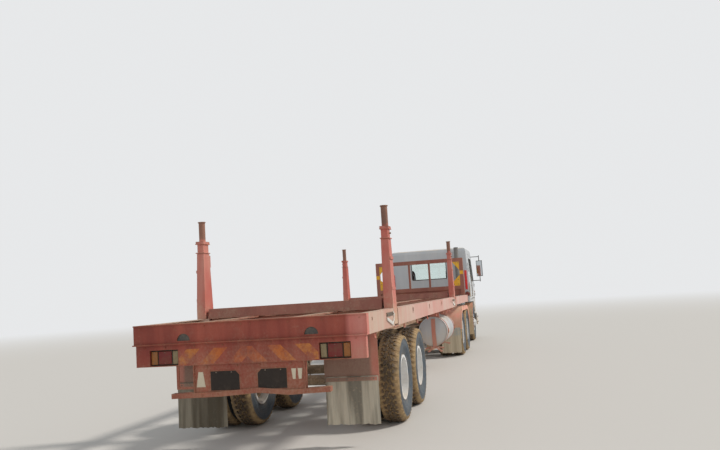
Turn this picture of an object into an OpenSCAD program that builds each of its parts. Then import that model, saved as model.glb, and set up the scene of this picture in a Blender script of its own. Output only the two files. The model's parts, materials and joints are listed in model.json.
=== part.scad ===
// Articulated log lorry: a three-axle cab-over tractor and a two-axle skeletal log trailer.
// Millimetres, +X forwards, +Y to the left, +Z up, origin on the ground below the middle of its length.

/* [Trailer frame] */
// Length of the trailer, rear face to front end
trailer_len = 12400; // [12000:50:13000]
// Width over the side rails
trailer_w = 2500; // [2460:10:2600]
// Height of the deck above the ground
deck_h = 1405; // [1390:5:1440]
// Depth of the side rails
rail_h = 210; // [200:5:230]
// Width of the side rails' flanges
rail_flange = 90; // [70:5:100]
// Thickness of the side rails' plate
rail_t = 8; // [6:1:12]
// Distance of each main beam from the middle
beam_y = 500; // [480:5:520]
// Depth of the main beams behind the neck
beam_h = 440; // [400:10:460]
// Width of the main beams' flanges
beam_flange = 130; // [110:5:140]
// Thickness of the main beams' plates
beam_t = 14; // [10:1:18]
// Length of the shallow neck over the tractor
neck_len = 3000; // [2900:50:3200]
// Depth of the cross-members
cross_h = 120; // [90:5:130]
// Radius of the lashing holes in the side rails
lash_hole_r = 34; // [25:1:40]

/* [Rear beam] */
// Depth of the plate across the rear end
rear_plate_h = 210; // [200:2:230]
// Height of the lamp panel below that plate
lamp_panel_h = 220; // [210:5:240]
// Width of each lamp opening
lamp_open_w = 320; // [280:5:340]
// Width of the panel that carries the number plates
plate_panel_w = 1190; // [1100:10:1240]
// Height of the panel that carries the number plates
plate_panel_h = 280; // [260:5:300]
// Length of the bent bar along the bottom
bottom_bar_w = 1690; // [1600:10:1800]

/* [Stakes and bolsters] */
// Distance of the rear stakes from the rear face
rear_stake_d = 1620; // [1560:10:1660]
// Distance of the front stakes behind the neck
front_stake_gap = 500; // [450:10:600]
// Width of a stake at its foot
stake_foot_w = 240; // [220:5:260]
// Width of a stake at its head
stake_head_w = 165; // [150:5:190]
// Thickness of a stake across the trailer
stake_t = 110; // [90:5:115]
// Height of a stake's tapered box above the deck
stake_h = 820; // [760:10:900]
// Length of the collar on top of that box
collar_len = 155; // [120:5:180]
// Length of the post that stands out of the collar
post_len = 255; // [220:5:300]
// Radius of that post
post_r = 40; // [30:1:45]
// Radius of a stake's hinge pin
stake_pin_r = 20; // [16:1:24]
// Height of a bolster above the deck
bolster_h = 120; // [100:5:150]
// Width of a bolster
bolster_w = 220; // [180:5:240]

/* [Headboard] */
// Height of the headboard above the deck
headboard_h = 1000; // [920:10:1100]
// Height of its solid lower panel
headboard_sill = 260; // [230:10:320]
// Width of its posts and beams
headboard_post = 100; // [80:5:120]

/* [Wheels] */
// Outer diameter of the tyres
tyre_d = 1070; // [1050:5:1080]
// Width of a tyre
tyre_w = 280; // [260:5:285]
// Diameter of the rims at the bead
rim_d = 508; // [490:2:520]
// Distance between the two tyres of a twin wheel
twin_gap = 320; // [310:2:326]
// Distance from the middle to the middle of a twin wheel
twin_y = 940; // [935:1:945]
// Radius of the brake drums
drum_r = 205; // [190:1:215]

/* [Trailer running gear] */
// Distance of the rear axle from the rear face
trailer_axle_d = 2120; // [2100:10:2200]
// Distance between the two trailer axles
trailer_axle_gap = 1300; // [1250:10:1400]
// Radius of the axle tubes
axle_r = 65; // [55:1:75]
// Number of leaves in a trailer spring
leaf_n = 7; // [5:1:8]
// Thickness of a leaf
leaf_t = 13; // [10:1:14]
// Width of a leaf
leaf_w = 90; // [75:5:100]
// Distance of the landing legs behind the kingpin
leg_setback = 2650; // [2600:10:2750]
// Distance of the brake-water tank behind the landing legs
tank_gap = 150; // [120:5:250]
// Length of that tank
tank_len = 1480; // [1400:20:1540]
// Radius of that tank
tank_r = 280; // [260:2:282]

/* [Coupling] */
// Distance of the kingpin behind the trailer's front end
kingpin_setback = 1050; // [900:10:1150]
// Radius of the kingpin
kingpin_r = 25.4; // [25:0.1:28]
// Height of the fifth wheel above the tractor's frame
fifth_h = 215; // [205:5:230]
// Distance of the kingpin ahead of the middle of the drive axles
fifth_lead = 100; // [0:10:200]

/* [Tractor] */
// Distance from the steered axle to the middle of the drive axles
wheelbase = 3900; // [3850:10:4100]
// Distance between the two drive axles
drive_axle_gap = 1300; // [1280:10:1350]
// Distance from the steered axle to the bumper's face
front_overhang = 1350; // [1300:10:1450]
// Height of the top of the tractor's frame
frame_top = 1000; // [980:5:1010]
// Depth of the tractor's frame rails
frame_rail_h = 250; // [220:5:270]
// Half the width over the tractor's frame rails
frame_y = 425; // [410:5:435]
// Distance from the middle to the middle of a steered wheel
steer_y = 1040; // [1030:1:1050]
// Distance from the middle to a steering kingpin
king_y = 900; // [895:1:905]
// Radius of the fuel tank
fuel_r = 290; // [260:5:300]
// Length of the fuel tank
fuel_len = 1050; // [900:10:1150]

/* [Cab] */
// Length of the cab
cab_len = 2050; // [1950:10:2150]
// Width of the cab
cab_w = 2350; // [2300:10:2400]
// Height of the cab's roof above the ground
cab_top = 2800; // [2750:10:2900]
// Height of the waist line below the side windows
waist_h = 1750; // [1700:10:1800]
// Height of the cab's floor
floor_h = 1180; // [1180:5:1210]
// Height of the cab's lower front edge
cab_bottom = 830; // [825:5:860]
// Thickness of the cab's walls
wall = 40; // [30:1:50]
// Thickness of a door
door_t = 60; // [50:1:70]
// Gap round a door
door_gap = 6; // [5:0.5:8]
// Thickness of the glass
glass_t = 6; // [5:0.5:8]
// Distance from the middle to the middle of a mirror
mirror_y = 1385; // [1360:5:1400]
// Depth of the bumper
bumper_h = 360; // [320:10:380]
// Distance that the bumper stands ahead of the cab
bumper_proud = 70; // [60:5:90]

/* [Hidden] */
$fn = 48;

// Clearances: between fitted solids, round a turning shaft, and between pieces that move past each other
seat = 0.3;
turn = 0.08;
pass = 6;

// Places along the lorry, each a distance ahead of the trailer's rear face
kingpin_d = trailer_len - kingpin_setback;
bogie_d = kingpin_d - fifth_lead;
drive_axles_d = [bogie_d - drive_axle_gap / 2, bogie_d + drive_axle_gap / 2];
steer_d = bogie_d + wheelbase;
overall_len = steer_d + front_overhang;
cab_front = overall_len - bumper_proud;
cab_rear = cab_front - cab_len;
trailer_axles_d = [trailer_axle_d, trailer_axle_d + trailer_axle_gap];
trailer_bogie_d = trailer_axle_d + trailer_axle_gap / 2;
neck_d = trailer_len - neck_len;
front_stake_d = neck_d - front_stake_gap;
stakes_d = [rear_stake_d, front_stake_d];
leg_d = kingpin_d - leg_setback;
tank_d = leg_d - tank_gap - tank_len;

// Heights and half widths
axle_z = tyre_d / 2;
half_w = trailer_w / 2;
cross_z = deck_h - rail_t - cross_h;
beam_z = deck_h - beam_h;
rail_z = deck_h - rail_h;
rub_z = frame_top + fifth_h + seat;
rub_t = 10;
neck_z = rub_z + rub_t;
neck_rail_z = neck_z + 4;
frame_z = frame_top - frame_rail_h;
spring_z = axle_z + axle_r + 15;
rim_r = rim_d / 2;
bead_half = 100;

// A place's model X
function at(d) = d - overall_len / 2;

// A box between two distances, two sides and two heights
module block(d, y, z) {
    translate([at(d[0]), y[0], z[0]]) cube([d[1] - d[0], y[1] - y[0], z[1] - z[0]]);
}

// A plate seen from the side: its outline is a list of [distance, height]
module side_plate(outline, y) {
    translate([0, y[1], 0]) rotate([90, 0, 0])
        linear_extrude(y[1] - y[0]) polygon([for (p = outline) [at(p[0]), p[1]]]);
}

// A plate seen from behind: its outline is a list of [side, height]
module cross_plate(outline, d) {
    translate([at(d[0]), 0, 0]) rotate([90, 0, 90])
        linear_extrude(d[1] - d[0]) polygon(outline);
}

// Round bars along X, Y and Z, and between any two points given as [distance, side, height]
module bar_x(d, y, z, r) {
    translate([at(d[0]), y, z]) rotate([0, 90, 0]) cylinder(r = r, h = d[1] - d[0]);
}

module bar_y(d, y, z, r) {
    translate([at(d), y[1], z]) rotate([90, 0, 0]) cylinder(r = r, h = y[1] - y[0]);
}

module bar_z(d, y, z, r) {
    translate([at(d), y, z[0]]) cylinder(r = r, h = z[1] - z[0]);
}

module bar(a, b, r) {
    v = b - a;
    translate([at(a[0]), a[1], a[2]])
        rotate([0, acos(v[2] / norm(v)), atan2(v[1], v[0])]) cylinder(r = r, h = norm(v));
}

module both_sides() {
    children();
    mirror([0, 1, 0]) children();
}

module on_side(side) {
    if (side > 0) children();
    else mirror([0, 1, 0]) children();
}

// Points of an arc, for outlines
function arc(c, r, a0, a1, n) =
    [for (i = [0:n]) c + r * [cos(a0 + (a1 - a0) * i / n), sin(a0 + (a1 - a0) * i / n)]];

// A rectangle with true round corners: low corner, high corner, radius at low X, radius at high X
module round_rect(lo, hi, r0, r1) {
    translate([lo[0] + r0, lo[1]]) square([hi[0] - lo[0] - r0 - r1, hi[1] - lo[1]]);
    translate([lo[0], lo[1] + r0]) square([r0 + 1, hi[1] - lo[1] - 2 * r0]);
    translate([hi[0] - r1 - 1, lo[1] + r1]) square([r1 + 1, hi[1] - lo[1] - 2 * r1]);
    for (y = [lo[1] + r0, hi[1] - r0]) translate([lo[0] + r0, y]) circle(r = r0);
    for (y = [lo[1] + r1, hi[1] - r1]) translate([hi[0] - r1, y]) circle(r = r1);
}

// A stack of curved leaves, each shorter than the one before, as one stepped outline
// Its shortest leaf's outer face is at height z; the ends rise by rise, or drop where that is negative
function leaf_reach(i, n) = 0.35 + 0.65 * i / (n - 1);

module leaf_pack(d, y, z, half_len, rise, n, w) {
    up = rise > 0 ? 1 : -1;
    function level(x, i) = [d + x, z + rise * x * x / (half_len * half_len) + up * i * leaf_t];
    function steps(side) = [for (i = [n - 1:-1:0],
        j = [i + 1, i]) level(side * half_len * leaf_reach(i, n), j)];
    left = steps(-1);
    side_plate(concat(
        [for (k = [-5:5]) level(half_len * k / 6, n)],
        steps(1),
        [for (k = [2:-1:-2]) level(half_len * leaf_reach(0, n) * k / 3, 0)],
        [for (k = [len(left) - 1:-1:0]) left[k]]
    ), [y - w / 2, y + w / 2]);
}

// TRAILER

// Web outline of a main beam, deep at the rear and shallow over the tractor
function beam_outline(lo, hi, neck_lo) = [
    [hook_d, hi], [hook_d, lo], [neck_d, lo], [neck_d + 350, neck_lo], [trailer_len, neck_lo],
        [trailer_len, hi]
];
hook_d = 130;
cross_n = 12;
cross_first = 480;
cross_last = trailer_len - 90;
cross_w = 60;
cross_t = 8;
function cross_at(i) = cross_first + (cross_last - cross_first) * i / (cross_n - 1);

module main_beam() {
    web_y = [beam_y - beam_t / 2, beam_y + beam_t / 2];
    flange_y = [beam_y - beam_flange / 2, beam_y + beam_flange / 2];
    side_plate(beam_outline(beam_z, deck_h, neck_z), web_y);
    block([hook_d, trailer_len], flange_y, [deck_h - beam_t, deck_h]);
    side_plate([
        [hook_d, beam_z], [neck_d, beam_z], [neck_d + 350, neck_z], [trailer_len, neck_z],
        [trailer_len, neck_z + beam_t], [neck_d + 345, neck_z + beam_t], [neck_d - 5, beam_z + beam_t],
        [hook_d, beam_z + beam_t]
    ], flange_y);
    // Web stiffeners beside the stakes and over the axles
    for (d = [rear_stake_d, trailer_axle_d, trailer_bogie_d, trailer_axle_d + trailer_axle_gap, leg_d,
        front_stake_d])
        block([d - 6, d + 6], flange_y, [beam_z, deck_h]);
}

// How far a cross-member reaches: to the rails, or to the back of a stake pocket in its way
function cross_reach(d) =
    min([for (k = stakes_d) abs(d + cross_w / 2 - k)]) < pocket_half + cheek_t + lug_len + cross_w / 2
        ? pocket_back_y : half_w - rail_t;

// A cross-member: a channel that runs through the beams from rail to rail
module cross_member(d) {
    side_plate([
        [d, cross_z], [d + cross_w, cross_z], [d + cross_w, cross_z + cross_t],
            [d + cross_t, cross_z + cross_t],
        [d + cross_t, cross_z + cross_h - cross_t], [d + cross_w, cross_z + cross_h - cross_t],
        [d + cross_w, cross_z + cross_h], [d, cross_z + cross_h]
    ], [-cross_reach(d), cross_reach(d)]);
}

kingpin_len = 84;
collar_h = 26;

module trailer_frame() color("indianred") {
    both_sides() main_beam();
    for (i = [0:cross_n - 1]) cross_member(cross_at(i));
    // Rubbing plate and kingpin
    block([kingpin_d - 480, trailer_len], [-beam_y - beam_flange / 2, beam_y + beam_flange / 2],
        [rub_z, neck_z]);
    bar_z(kingpin_d, 0, [rub_z - kingpin_len, rub_z], kingpin_r);
    bar_z(kingpin_d, 0, [rub_z - kingpin_len, rub_z - kingpin_len + collar_h], kingpin_r + 10);
    block([kingpin_d - 130, kingpin_d + 130], [-beam_y, beam_y], [neck_z, neck_z + 60]);
}

pocket_half = stake_foot_w / 2 + pass;
cheek_t = 12;
pin_y = half_w - 35;
pin_z = rail_z + 75;
lug_len = 40;
pocket_back_y = half_w - stake_t - 5 - 45;
hole_z = deck_h - 0.32 * rail_h;
hook_places = [480, 2300, 3400, 4500, 5600, 6700, 7800];
flap_d = trailer_axle_d - axle_z - 785;
flap_y = [beam_y + beam_flange / 2 + 5, half_w - 75];
hanger_z = 660;

// The rail's outer web, deep behind the neck
module rail_web(from, to, z0) {
    block([from, to], [half_w - rail_t, half_w], [z0, deck_h]);
    block([from, to], [half_w - rail_flange, half_w], [deck_h - rail_t, deck_h]);
    block([from, to], [half_w - rail_flange, half_w], [z0, z0 + rail_t]);
}

module side_rail() {
    difference() {
        union() {
            rail_web(hook_d, rear_stake_d - pocket_half, rail_z);
            rail_web(rear_stake_d + pocket_half, front_stake_d - pocket_half, rail_z);
            rail_web(front_stake_d + pocket_half, neck_d - 250, rail_z);
            rail_web(neck_d - 250, trailer_len, neck_rail_z);
        }
        for (i = [0:3]) bar_y(rear_stake_d + 1300 + i * 1700, [half_w - 50, half_w + 1], hole_z,
            lash_hole_r);
        bar_y(hook_d + 160, [half_w - 50, half_w + 1], hole_z, lash_hole_r * 0.6);
    }
    for (d = stakes_d) stake_pocket(d);
    for (d = hook_places) rope_hook(d);
    // Steel plate that the mud flap hangs from
    block([flap_d, flap_d + 8], flap_y, [hanger_z, rail_z]);
    block([flap_d, flap_d + 60], [flap_y[0], half_w - 20], [rail_z - 8, rail_z]);
}

// A hook of bent rod under the rail, that a rope is tied to
module rope_hook(d) {
    y = half_w - 30;
    bar_z(d, y, [rail_z - 62, rail_z + 4], 8, $fn = 16);
    bar_x([d - 4, d + 56], y, rail_z - 56, 9, $fn = 16);
    bar_z(d + 46, y, [rail_z - 56, rail_z - 24], 8, $fn = 16);
}

// The open pocket that a stake's foot hinges in
module stake_pocket(d) {
    for (s = [-1, 1]) {
        edge = d + s * pocket_half;
        side = [min(edge, edge + s * cheek_t), max(edge, edge + s * cheek_t)];
        block(side, [pocket_back_y, half_w], [rail_z, deck_h]);
    }
    block([d - pocket_half - cheek_t, d + pocket_half + cheek_t], [pocket_back_y, pocket_back_y + 10],
        [rail_z, deck_h - rail_t]);
    block([d - pocket_half - cheek_t, d + pocket_half + cheek_t], [pocket_back_y, half_w],
        [rail_z - 10, rail_z]);
    bar_x([d - pocket_half - 18, d + pocket_half + 18], pin_y, pin_z, stake_pin_r);
    // Latch lug that the stake is pinned to
    block([d - pocket_half - cheek_t - lug_len, d - pocket_half - cheek_t],
        [half_w - rail_t - 26, half_w - rail_t], [pin_z + 40, pin_z + 110]);
}

module side_rails() color("rosybrown") both_sides() side_rail();

rear_face = 30;
lip_z = deck_h - rear_plate_h;
panel_z = lip_z - lamp_panel_h;
plate_z = panel_z - plate_panel_h;
lamp_y = half_w - 175 - lamp_open_w;
lamp_zs = [panel_z + 8, lip_z - 52];
slot_y = 685;
slot_r = 72;
bar_h = 50;

// Bent outline of the bottom bar: [side as a share of half its length, how far it is bent up]
bar_bend = [[-1, 22], [-0.5, 6], [-0.12, 36], [0.35, 10], [1, 0]];

// A chain slot with a round top, through the upper plate
module chain_slot(y) intersection() {
    bar_x([rear_face - 1, rear_face + 13], y, lip_z + 35, slot_r);
    block([rear_face - 2, rear_face + 14], [y - slot_r - 1, y + slot_r + 1], [lip_z + 35, lip_z + 120]);
}

// Open frame that hangs beside the plate panel on the left
module side_frame() {
    y0 = plate_panel_w / 2 + 15;
    block([rear_face + 30, rear_face + 42], [y0 + 150, y0 + 180], [plate_z + 40, panel_z + 1]);
    block([rear_face + 30, rear_face + 42], [y0 - 16, y0 + 151], [plate_z + 40, plate_z + 66]);
}

module rear_beam() color("firebrick") {
    difference() {
        union() {
            // Upper plate with its top and bottom lips
            block([rear_face, rear_face + 12], [-half_w, half_w], [lip_z, deck_h]);
            block([rear_face - 12, hook_d], [-half_w, half_w], [deck_h - 12, deck_h]);
            block([0, hook_d - 10], [-half_w, half_w], [lip_z, lip_z + 12]);
            for (s = [-1, 1]) block([rear_face, hook_d],
                s > 0 ? [half_w - 12, half_w] : [-half_w, -half_w + 12], [lip_z, deck_h]);
            // Lamp panel
            block([rear_face + 10, rear_face + 90], [-half_w + 20, half_w - 20], [panel_z, lip_z]);
        }
        for (s = [-1, 1]) chain_slot(s * slot_y);
        both_sides() block([rear_face + 9, rear_face + 80], [lamp_y, lamp_y + lamp_open_w], lamp_zs);
    }
    side_frame();
    // Panel that carries the number plates, in front of it the bent bar
    block([rear_face + 30, rear_face + 42], [-plate_panel_w / 2, plate_panel_w / 2], [plate_z, panel_z]);
    for (s = [-1, 1]) block([rear_face + 10, rear_face + 90],
        [s * (plate_panel_w / 2 - 5) - 5, s * (plate_panel_w / 2 - 5) + 5], [plate_z, panel_z]);
    cross_plate(concat(
        [for (p = bar_bend) [p[0] * bottom_bar_w / 2, plate_z - bar_h + p[1]]],
        [for (i = [len(bar_bend) - 1:-1:0]) [bar_bend[i][0] * bottom_bar_w / 2, plate_z + bar_bend[i][1]]]
    ), [rear_face + 10, rear_face + 95]);
    // Brackets back to the main beams
    for (s = [-1, 1]) block([rear_face + 42, hook_d], [s * beam_y - 8, s * beam_y + 8],
        [panel_z + 20, deck_h - 12]);
}

// Lenses of a lamp, from the middle outwards: [share of the opening's width, share at its end]
lenses = [[0.03, 0.22], [0.26, 0.72], [0.76, 0.97]];

module tail_lamps() color("darkred") both_sides() for (l = lenses)
    block([rear_face + 25, rear_face + 80], [lamp_y + l[0] * lamp_open_w, lamp_y + l[1] * lamp_open_w],
        [lamp_zs[0] + 8, lamp_zs[1] - 8]);

// Two cross beams that the logs lie on
module bolsters() color("indianred") for (d = stakes_d) {
    side_plate([
        [d - bolster_w / 2, deck_h], [d + bolster_w / 2, deck_h],
        [d + bolster_w / 2 - 35, deck_h + bolster_h], [d - bolster_w / 2 + 35, deck_h + bolster_h]
    ], [-half_w + stake_t + 35, half_w - stake_t - 35]);
    for (s = [-1, 1], e = [-1, 1])
        block([d + e * bolster_w / 2 - (e > 0 ? 0 : 30), d + e * bolster_w / 2 + (e > 0 ? 30 : 0)],
            [s * beam_y - beam_flange / 2, s * beam_y + beam_flange / 2], [deck_h, deck_h + 14]);
}

board_d = [trailer_len - headboard_post, trailer_len];
board_half = half_w - 110;
board_bars = [-0.36, -0.12, 0.12, 0.36];
gusset_d = [board_d[0], board_d[0] + 12];

module headboard() color("gold") {
    top = deck_h + headboard_h;
    sill = deck_h + headboard_sill;
    for (s = [-1, 1]) block(board_d,
        [s * board_half - headboard_post / 2, s * board_half + headboard_post / 2], [deck_h, top]);
    block(board_d, [-board_half, board_half], [top - headboard_post, top]);
    block(board_d, [-board_half, board_half], [sill - headboard_post, sill]);
    block([board_d[0] + 40, board_d[0] + 50], [-board_half, board_half], [deck_h, sill]);
    for (b = board_bars) block([board_d[0] + 25, board_d[1] - 25],
        [b * 2 * board_half - 25, b * 2 * board_half + 25], [deck_h, top - headboard_post / 2]);
    // Corner gussets of the window
    inner = board_half - headboard_post / 2;
    for (s = [-1, 1]) {
        cross_plate([
            [s * inner, top - headboard_post], [s * (inner - 180), top - headboard_post],
            [s * inner, top - headboard_post - 230]
        ], gusset_d);
        cross_plate([[s * inner, sill], [s * (inner - 290), sill], [s * inner, sill + 290]], gusset_d);
    }
}

module trailer_mud_flaps() color("dimgray") both_sides()
    block([flap_d - 10 - seat, flap_d - seat], [flap_y[0] + 10, flap_y[1] - 10], [210, hanger_z + 60]);

spring_half = trailer_axle_gap / 2 - 110;
spring_rise = 55;
spring_end_z = spring_z + leaf_n * leaf_t + spring_rise - leaf_t / 2;
hanger_plate = 12;

// One spring hanger: two plates that hold a spring's end
module hanger(d, y, reach) {
    for (s = [-1, 1]) let (y0 = y + s * (leaf_w / 2 + 4 + hanger_plate / 2))
        side_plate([
            [d - reach, beam_z], [d + reach, beam_z], [d + reach * 0.45, spring_z + 20],
                [d - reach * 0.45, spring_z + 20]
        ], [y0 - hanger_plate / 2, y0 + hanger_plate / 2]);
    block([d - reach, d + reach], [y - leaf_w / 2 - 4, y + leaf_w / 2 + 4], [beam_z - 14, beam_z]);
}

backing_y = twin_y - 190 - 5;
spindle_r = 45 - turn;

// A dead axle under its two springs, with spindles that carry the hubs
module dead_axle(d) {
    bar_y(d, [-backing_y, backing_y], axle_z, axle_r);
    both_sides() {
        bar_y(d, [backing_y - 12, backing_y], axle_z, drum_r - 15);
        bar_y(d, [backing_y, twin_y + 44], axle_z, spindle_r);
        leaf_pack(d, beam_y, spring_z, spring_half, spring_rise, leaf_n, leaf_w);
        block([d - 80, d + 80], [beam_y - leaf_w / 2 - 20, beam_y + leaf_w / 2 + 20],
            [axle_z, spring_z + 6]);
        block([d - 80, d + 80], [beam_y - leaf_w / 2 - 20, beam_y + leaf_w / 2 + 20],
            [spring_z + leaf_n * leaf_t, spring_z + leaf_n * leaf_t + 16]);
        for (e = [-1, 1], s = [-1, 1])
            bar_z(d + e * 60, beam_y + s * (leaf_w / 2 + 10),
                [axle_z - axle_r - 25, spring_z + leaf_n * leaf_t + 35], 8);
        // Brake chamber
        bar_x([d - 250, d - 130], beam_y + 100, axle_z + 60, 55);
        block([d - 130, d], [beam_y + 88, beam_y + 112], [axle_z + 40, axle_z + 80]);
    }
}

module trailer_bogie() color("dimgray") {
    for (d = trailer_axles_d) dead_axle(d);
    both_sides() {
        for (d = [trailer_axle_d - spring_half + 8, trailer_axle_d + trailer_axle_gap + spring_half - 8]) {
            hanger(d, beam_y, 130);
            bar_y(d, [beam_y - leaf_w / 2 - 4 - hanger_plate, beam_y + leaf_w / 2 + 4 + hanger_plate],
                spring_end_z, 16);
        }
        hanger(trailer_bogie_d, beam_y, 180);
        // Equaliser between the two springs
        side_plate([
            [trailer_bogie_d - 145, spring_end_z], [trailer_bogie_d + 145, spring_end_z],
            [trailer_bogie_d + 145, spring_end_z - 30], [trailer_bogie_d + 50, spring_end_z - 75],
            [trailer_bogie_d - 50, spring_end_z - 75], [trailer_bogie_d - 145, spring_end_z - 30]
        ], [beam_y - leaf_w / 2, beam_y + leaf_w / 2]);
        bar_y(trailer_bogie_d,
            [beam_y - leaf_w / 2 - 4 - hanger_plate, beam_y + leaf_w / 2 + 4 + hanger_plate],
            spring_end_z - 38, 26);
    }
}

leg_y = beam_y + beam_flange / 2 + 70;
leg_foot_z = 300;

module landing_gear() color("dimgray") {
    both_sides() {
        block([leg_d - 65, leg_d + 65], [leg_y - 65, leg_y + 65], [700, cross_z]);
        block([leg_d - 50, leg_d + 50], [leg_y - 50, leg_y + 50], [leg_foot_z + 20, 700]);
        block([leg_d - 120, leg_d + 120], [leg_y - 100, leg_y + 100], [leg_foot_z, leg_foot_z + 20]);
        block([leg_d - 90, leg_d + 90], [beam_y + beam_flange / 2, leg_y - 65], [beam_z, beam_z + 220]);
        bar([leg_d + 30, leg_y - 25, 760], [leg_d - 560, leg_y - 25, cross_z - 20], 22);
        block([leg_d - 620, leg_d - 520], [beam_y + beam_flange / 2, leg_y + 30], [cross_z - 50, cross_z]);
    }
    bar_y(leg_d, [-leg_y, leg_y], 860, 18);
    bar_y(leg_d, [-leg_y - 190, -leg_y], 1000, 14);
    bar_z(leg_d, -leg_y - 180, [800, 1000], 12);
}

tank_y = half_w - 22 - tank_r;
tank_z = rail_z - 410;

module water_tank() color("gray") on_side(-1) {
    translate([at(tank_d), tank_y, tank_z]) rotate([0, 90, 0]) rotate_extrude()
        polygon(concat(
            [[0, 0]],
            arc([0, 620], 620, -90, -90 + asin(tank_r / 620) * 0.94, 5),
            [[tank_r, 45]], [[tank_r, tank_len - 45]],
            [for (p = arc([0, 620], 620, -90 + asin(tank_r / 620) * 0.94, -90, 5)) [p[0], tank_len - p[1]]]
        ));
}

// Two hanging straps with a forked foot under each end of the tank
module tank_cradle() color("rosybrown") on_side(-1) for (d = [tank_d + 150, tank_d + tank_len - 200]) {
    difference() {
        union() {
            bar_x([d, d + 50], tank_y, tank_z, tank_r + seat + 8);
            block([d, d + 50], [tank_y - 40, tank_y + 40], [tank_z - tank_r - 60, tank_z]);
            block([d, d + 50], [tank_y - 60, tank_y + 130], [tank_z, rail_z]);
            block([d, d + 50], [beam_y + beam_t / 2, half_w - rail_t], [rail_z - 40, rail_z]);
            cross_plate([[tank_y - 20, tank_z - tank_r - 8], [tank_y + 20, tank_z - tank_r - 8],
                [tank_y + 190, tank_z - tank_r - 40], [tank_y + 170, tank_z - tank_r - 70]], [d, d + 50]);
            cross_plate([[tank_y + 20, tank_z - tank_r - 8], [tank_y - 20, tank_z - tank_r - 8],
                [tank_y - 190, tank_z - tank_r - 40], [tank_y - 170, tank_z - tank_r - 70]], [d, d + 50]);
        }
        bar_x([d - 1, d + 51], tank_y, tank_z, tank_r + seat);
    }
}

// STAKES

stake_in = half_w - 5 - stake_t;
stake_out = half_w - 5;
foot_z = rail_z + 22;
head_z = deck_h + stake_h;
collar_z = head_z + collar_len;

// A tapered box on a hinge pin, with a collar, an upper post, a chain cleat and a rope eye
module stake(d, side) color("salmon") on_side(side) difference() {
    union() {
        intersection() {
            side_plate([
                [d - stake_foot_w / 2, foot_z], [d + stake_foot_w / 2, foot_z],
                [d + stake_foot_w / 2, deck_h + 120], [d + stake_head_w / 2, head_z],
                    [d - stake_head_w / 2, head_z],
                [d - stake_foot_w / 2, deck_h + 120]
            ], [stake_in - 1, stake_out + 1]);
            cross_plate([
                [stake_in, foot_z], [stake_out, foot_z], [stake_out, deck_h + 120],
                [stake_out - 12, head_z], [stake_in + 8, head_z], [stake_in, deck_h + 120]
            ], [d - stake_foot_w / 2 - 1, d + stake_foot_w / 2 + 1]);
        }
        block([d - stake_head_w / 2 + 10, d + stake_head_w / 2 - 10], [stake_in + 12, stake_out - 16],
            [head_z - 5, collar_z]);
        block([d - stake_head_w / 2 - 8, d + stake_head_w / 2 + 8], [stake_in + 2, stake_out - 4],
            [collar_z - 30, collar_z]);
        bar_z(d, (stake_in + stake_out) / 2, [collar_z, collar_z + post_len], post_r);
        bar_z(d, (stake_in + stake_out) / 2, [collar_z + post_len - 12, collar_z + post_len], post_r + 8);
        // Cleat on the front edge, below the collar
        block([d + 40, d + stake_head_w / 2 + 45], [stake_in + 15, stake_out - 20],
            [head_z - 170, head_z - 20]);
        // Rope eye
        translate([at(d + stake_foot_w / 2 - 20), (stake_in + stake_out) / 2, deck_h + 480])
            rotate([90, 0, 0])
            rotate_extrude() translate([45, 0]) circle(r = 9, $fn = 24);
    }
    bar_x([d - stake_foot_w, d + stake_foot_w], pin_y, pin_z, stake_pin_r + turn);
}

// WHEELS

// Profile of a tyre as [radius, side]: beads, bulging walls, rounded shoulders and a slightly crowned tread
function tyre_half(r, w) = concat(
    [[rim_r + seat, bead_half - 1], [rim_r + 24, bead_half - 1]],
    arc([rim_r + 0.52 * (r - rim_r), w / 2 - 70], 70, 135, 62, 4),
    arc([r - 34, w / 2 - 44], 30, 72, 14, 3),
    [[r, w * 0.22]]
);

module tyre(y) {
    half = tyre_half(tyre_d / 2, tyre_w);
    translate([0, y, 0]) rotate([-90, 0, 0]) rotate_extrude()
        polygon(concat(half, [for (i = [len(half) - 1:-1:0]) [half[i][0], -half[i][1]]]));
}

rim_t = 10;

// A rim's channel section, centred on its tyre
module rim_ring(y) {
    translate([0, y, 0]) rotate([-90, 0, 0]) rotate_extrude() polygon([
        [rim_r - rim_t, -bead_half - 12], [rim_r + 20, -bead_half - 12], [rim_r + 20, -bead_half],
            [rim_r, -bead_half],
        [rim_r, bead_half], [rim_r + 20, bead_half], [rim_r + 20, bead_half + 12],
            [rim_r - rim_t, bead_half + 12]
    ]);
}

hand_hole_n = 8;
nave_r = 192;

// A dished disc: its flat lies at y = 0, and its bowl reaches the rim on the side that out gives
module disc(y, out) {
    translate([0, y, 0]) rotate([-90 * out, 0, 0]) difference() {
        rotate_extrude() polygon([
            [100, 0], [nave_r, 0], [rim_r - rim_t - 8, 62], [rim_r - rim_t, 62],
            [rim_r - rim_t, 82], [rim_r - rim_t - 14, 82], [nave_r - 8, 13], [100, 13]
        ]);
        for (i = [0:hand_hole_n - 1]) rotate([0, 0, 360 * i / hand_hole_n + 22.5])
            translate([(nave_r + rim_r) / 2 - 4, 0, -10]) cylinder(r = 23, h = 120);
    }
}

// Hub, brake drum and cap of a wheel, bored for the spindle: the flange lies against the disc at y
module hub(y, drum_in, nose) {
    difference() {
        union() {
            translate([0, drum_in, 0]) rotate([-90, 0, 0]) cylinder(r = drum_r, h = y - 14 - drum_in);
            translate([0, y - 14, 0]) rotate([-90, 0, 0]) cylinder(r = 185, h = 14);
            translate([0, y, 0]) rotate([-90, 0, 0]) rotate_extrude() polygon([
                [0, 0], [118, 0], [118, 0.35 * nose], [96, 0.5 * nose], [88, 0.8 * nose], [60, nose],
                    [0, nose]
            ]);
        }
        translate([0, drum_in - 1, 0]) rotate([-90, 0, 0]) cylinder(r = 45, h = 241);
    }
}

module twin_place(d, side) {
    translate([at(d), 0, axle_z]) on_side(side) translate([0, twin_y, 0]) children();
}

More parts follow.
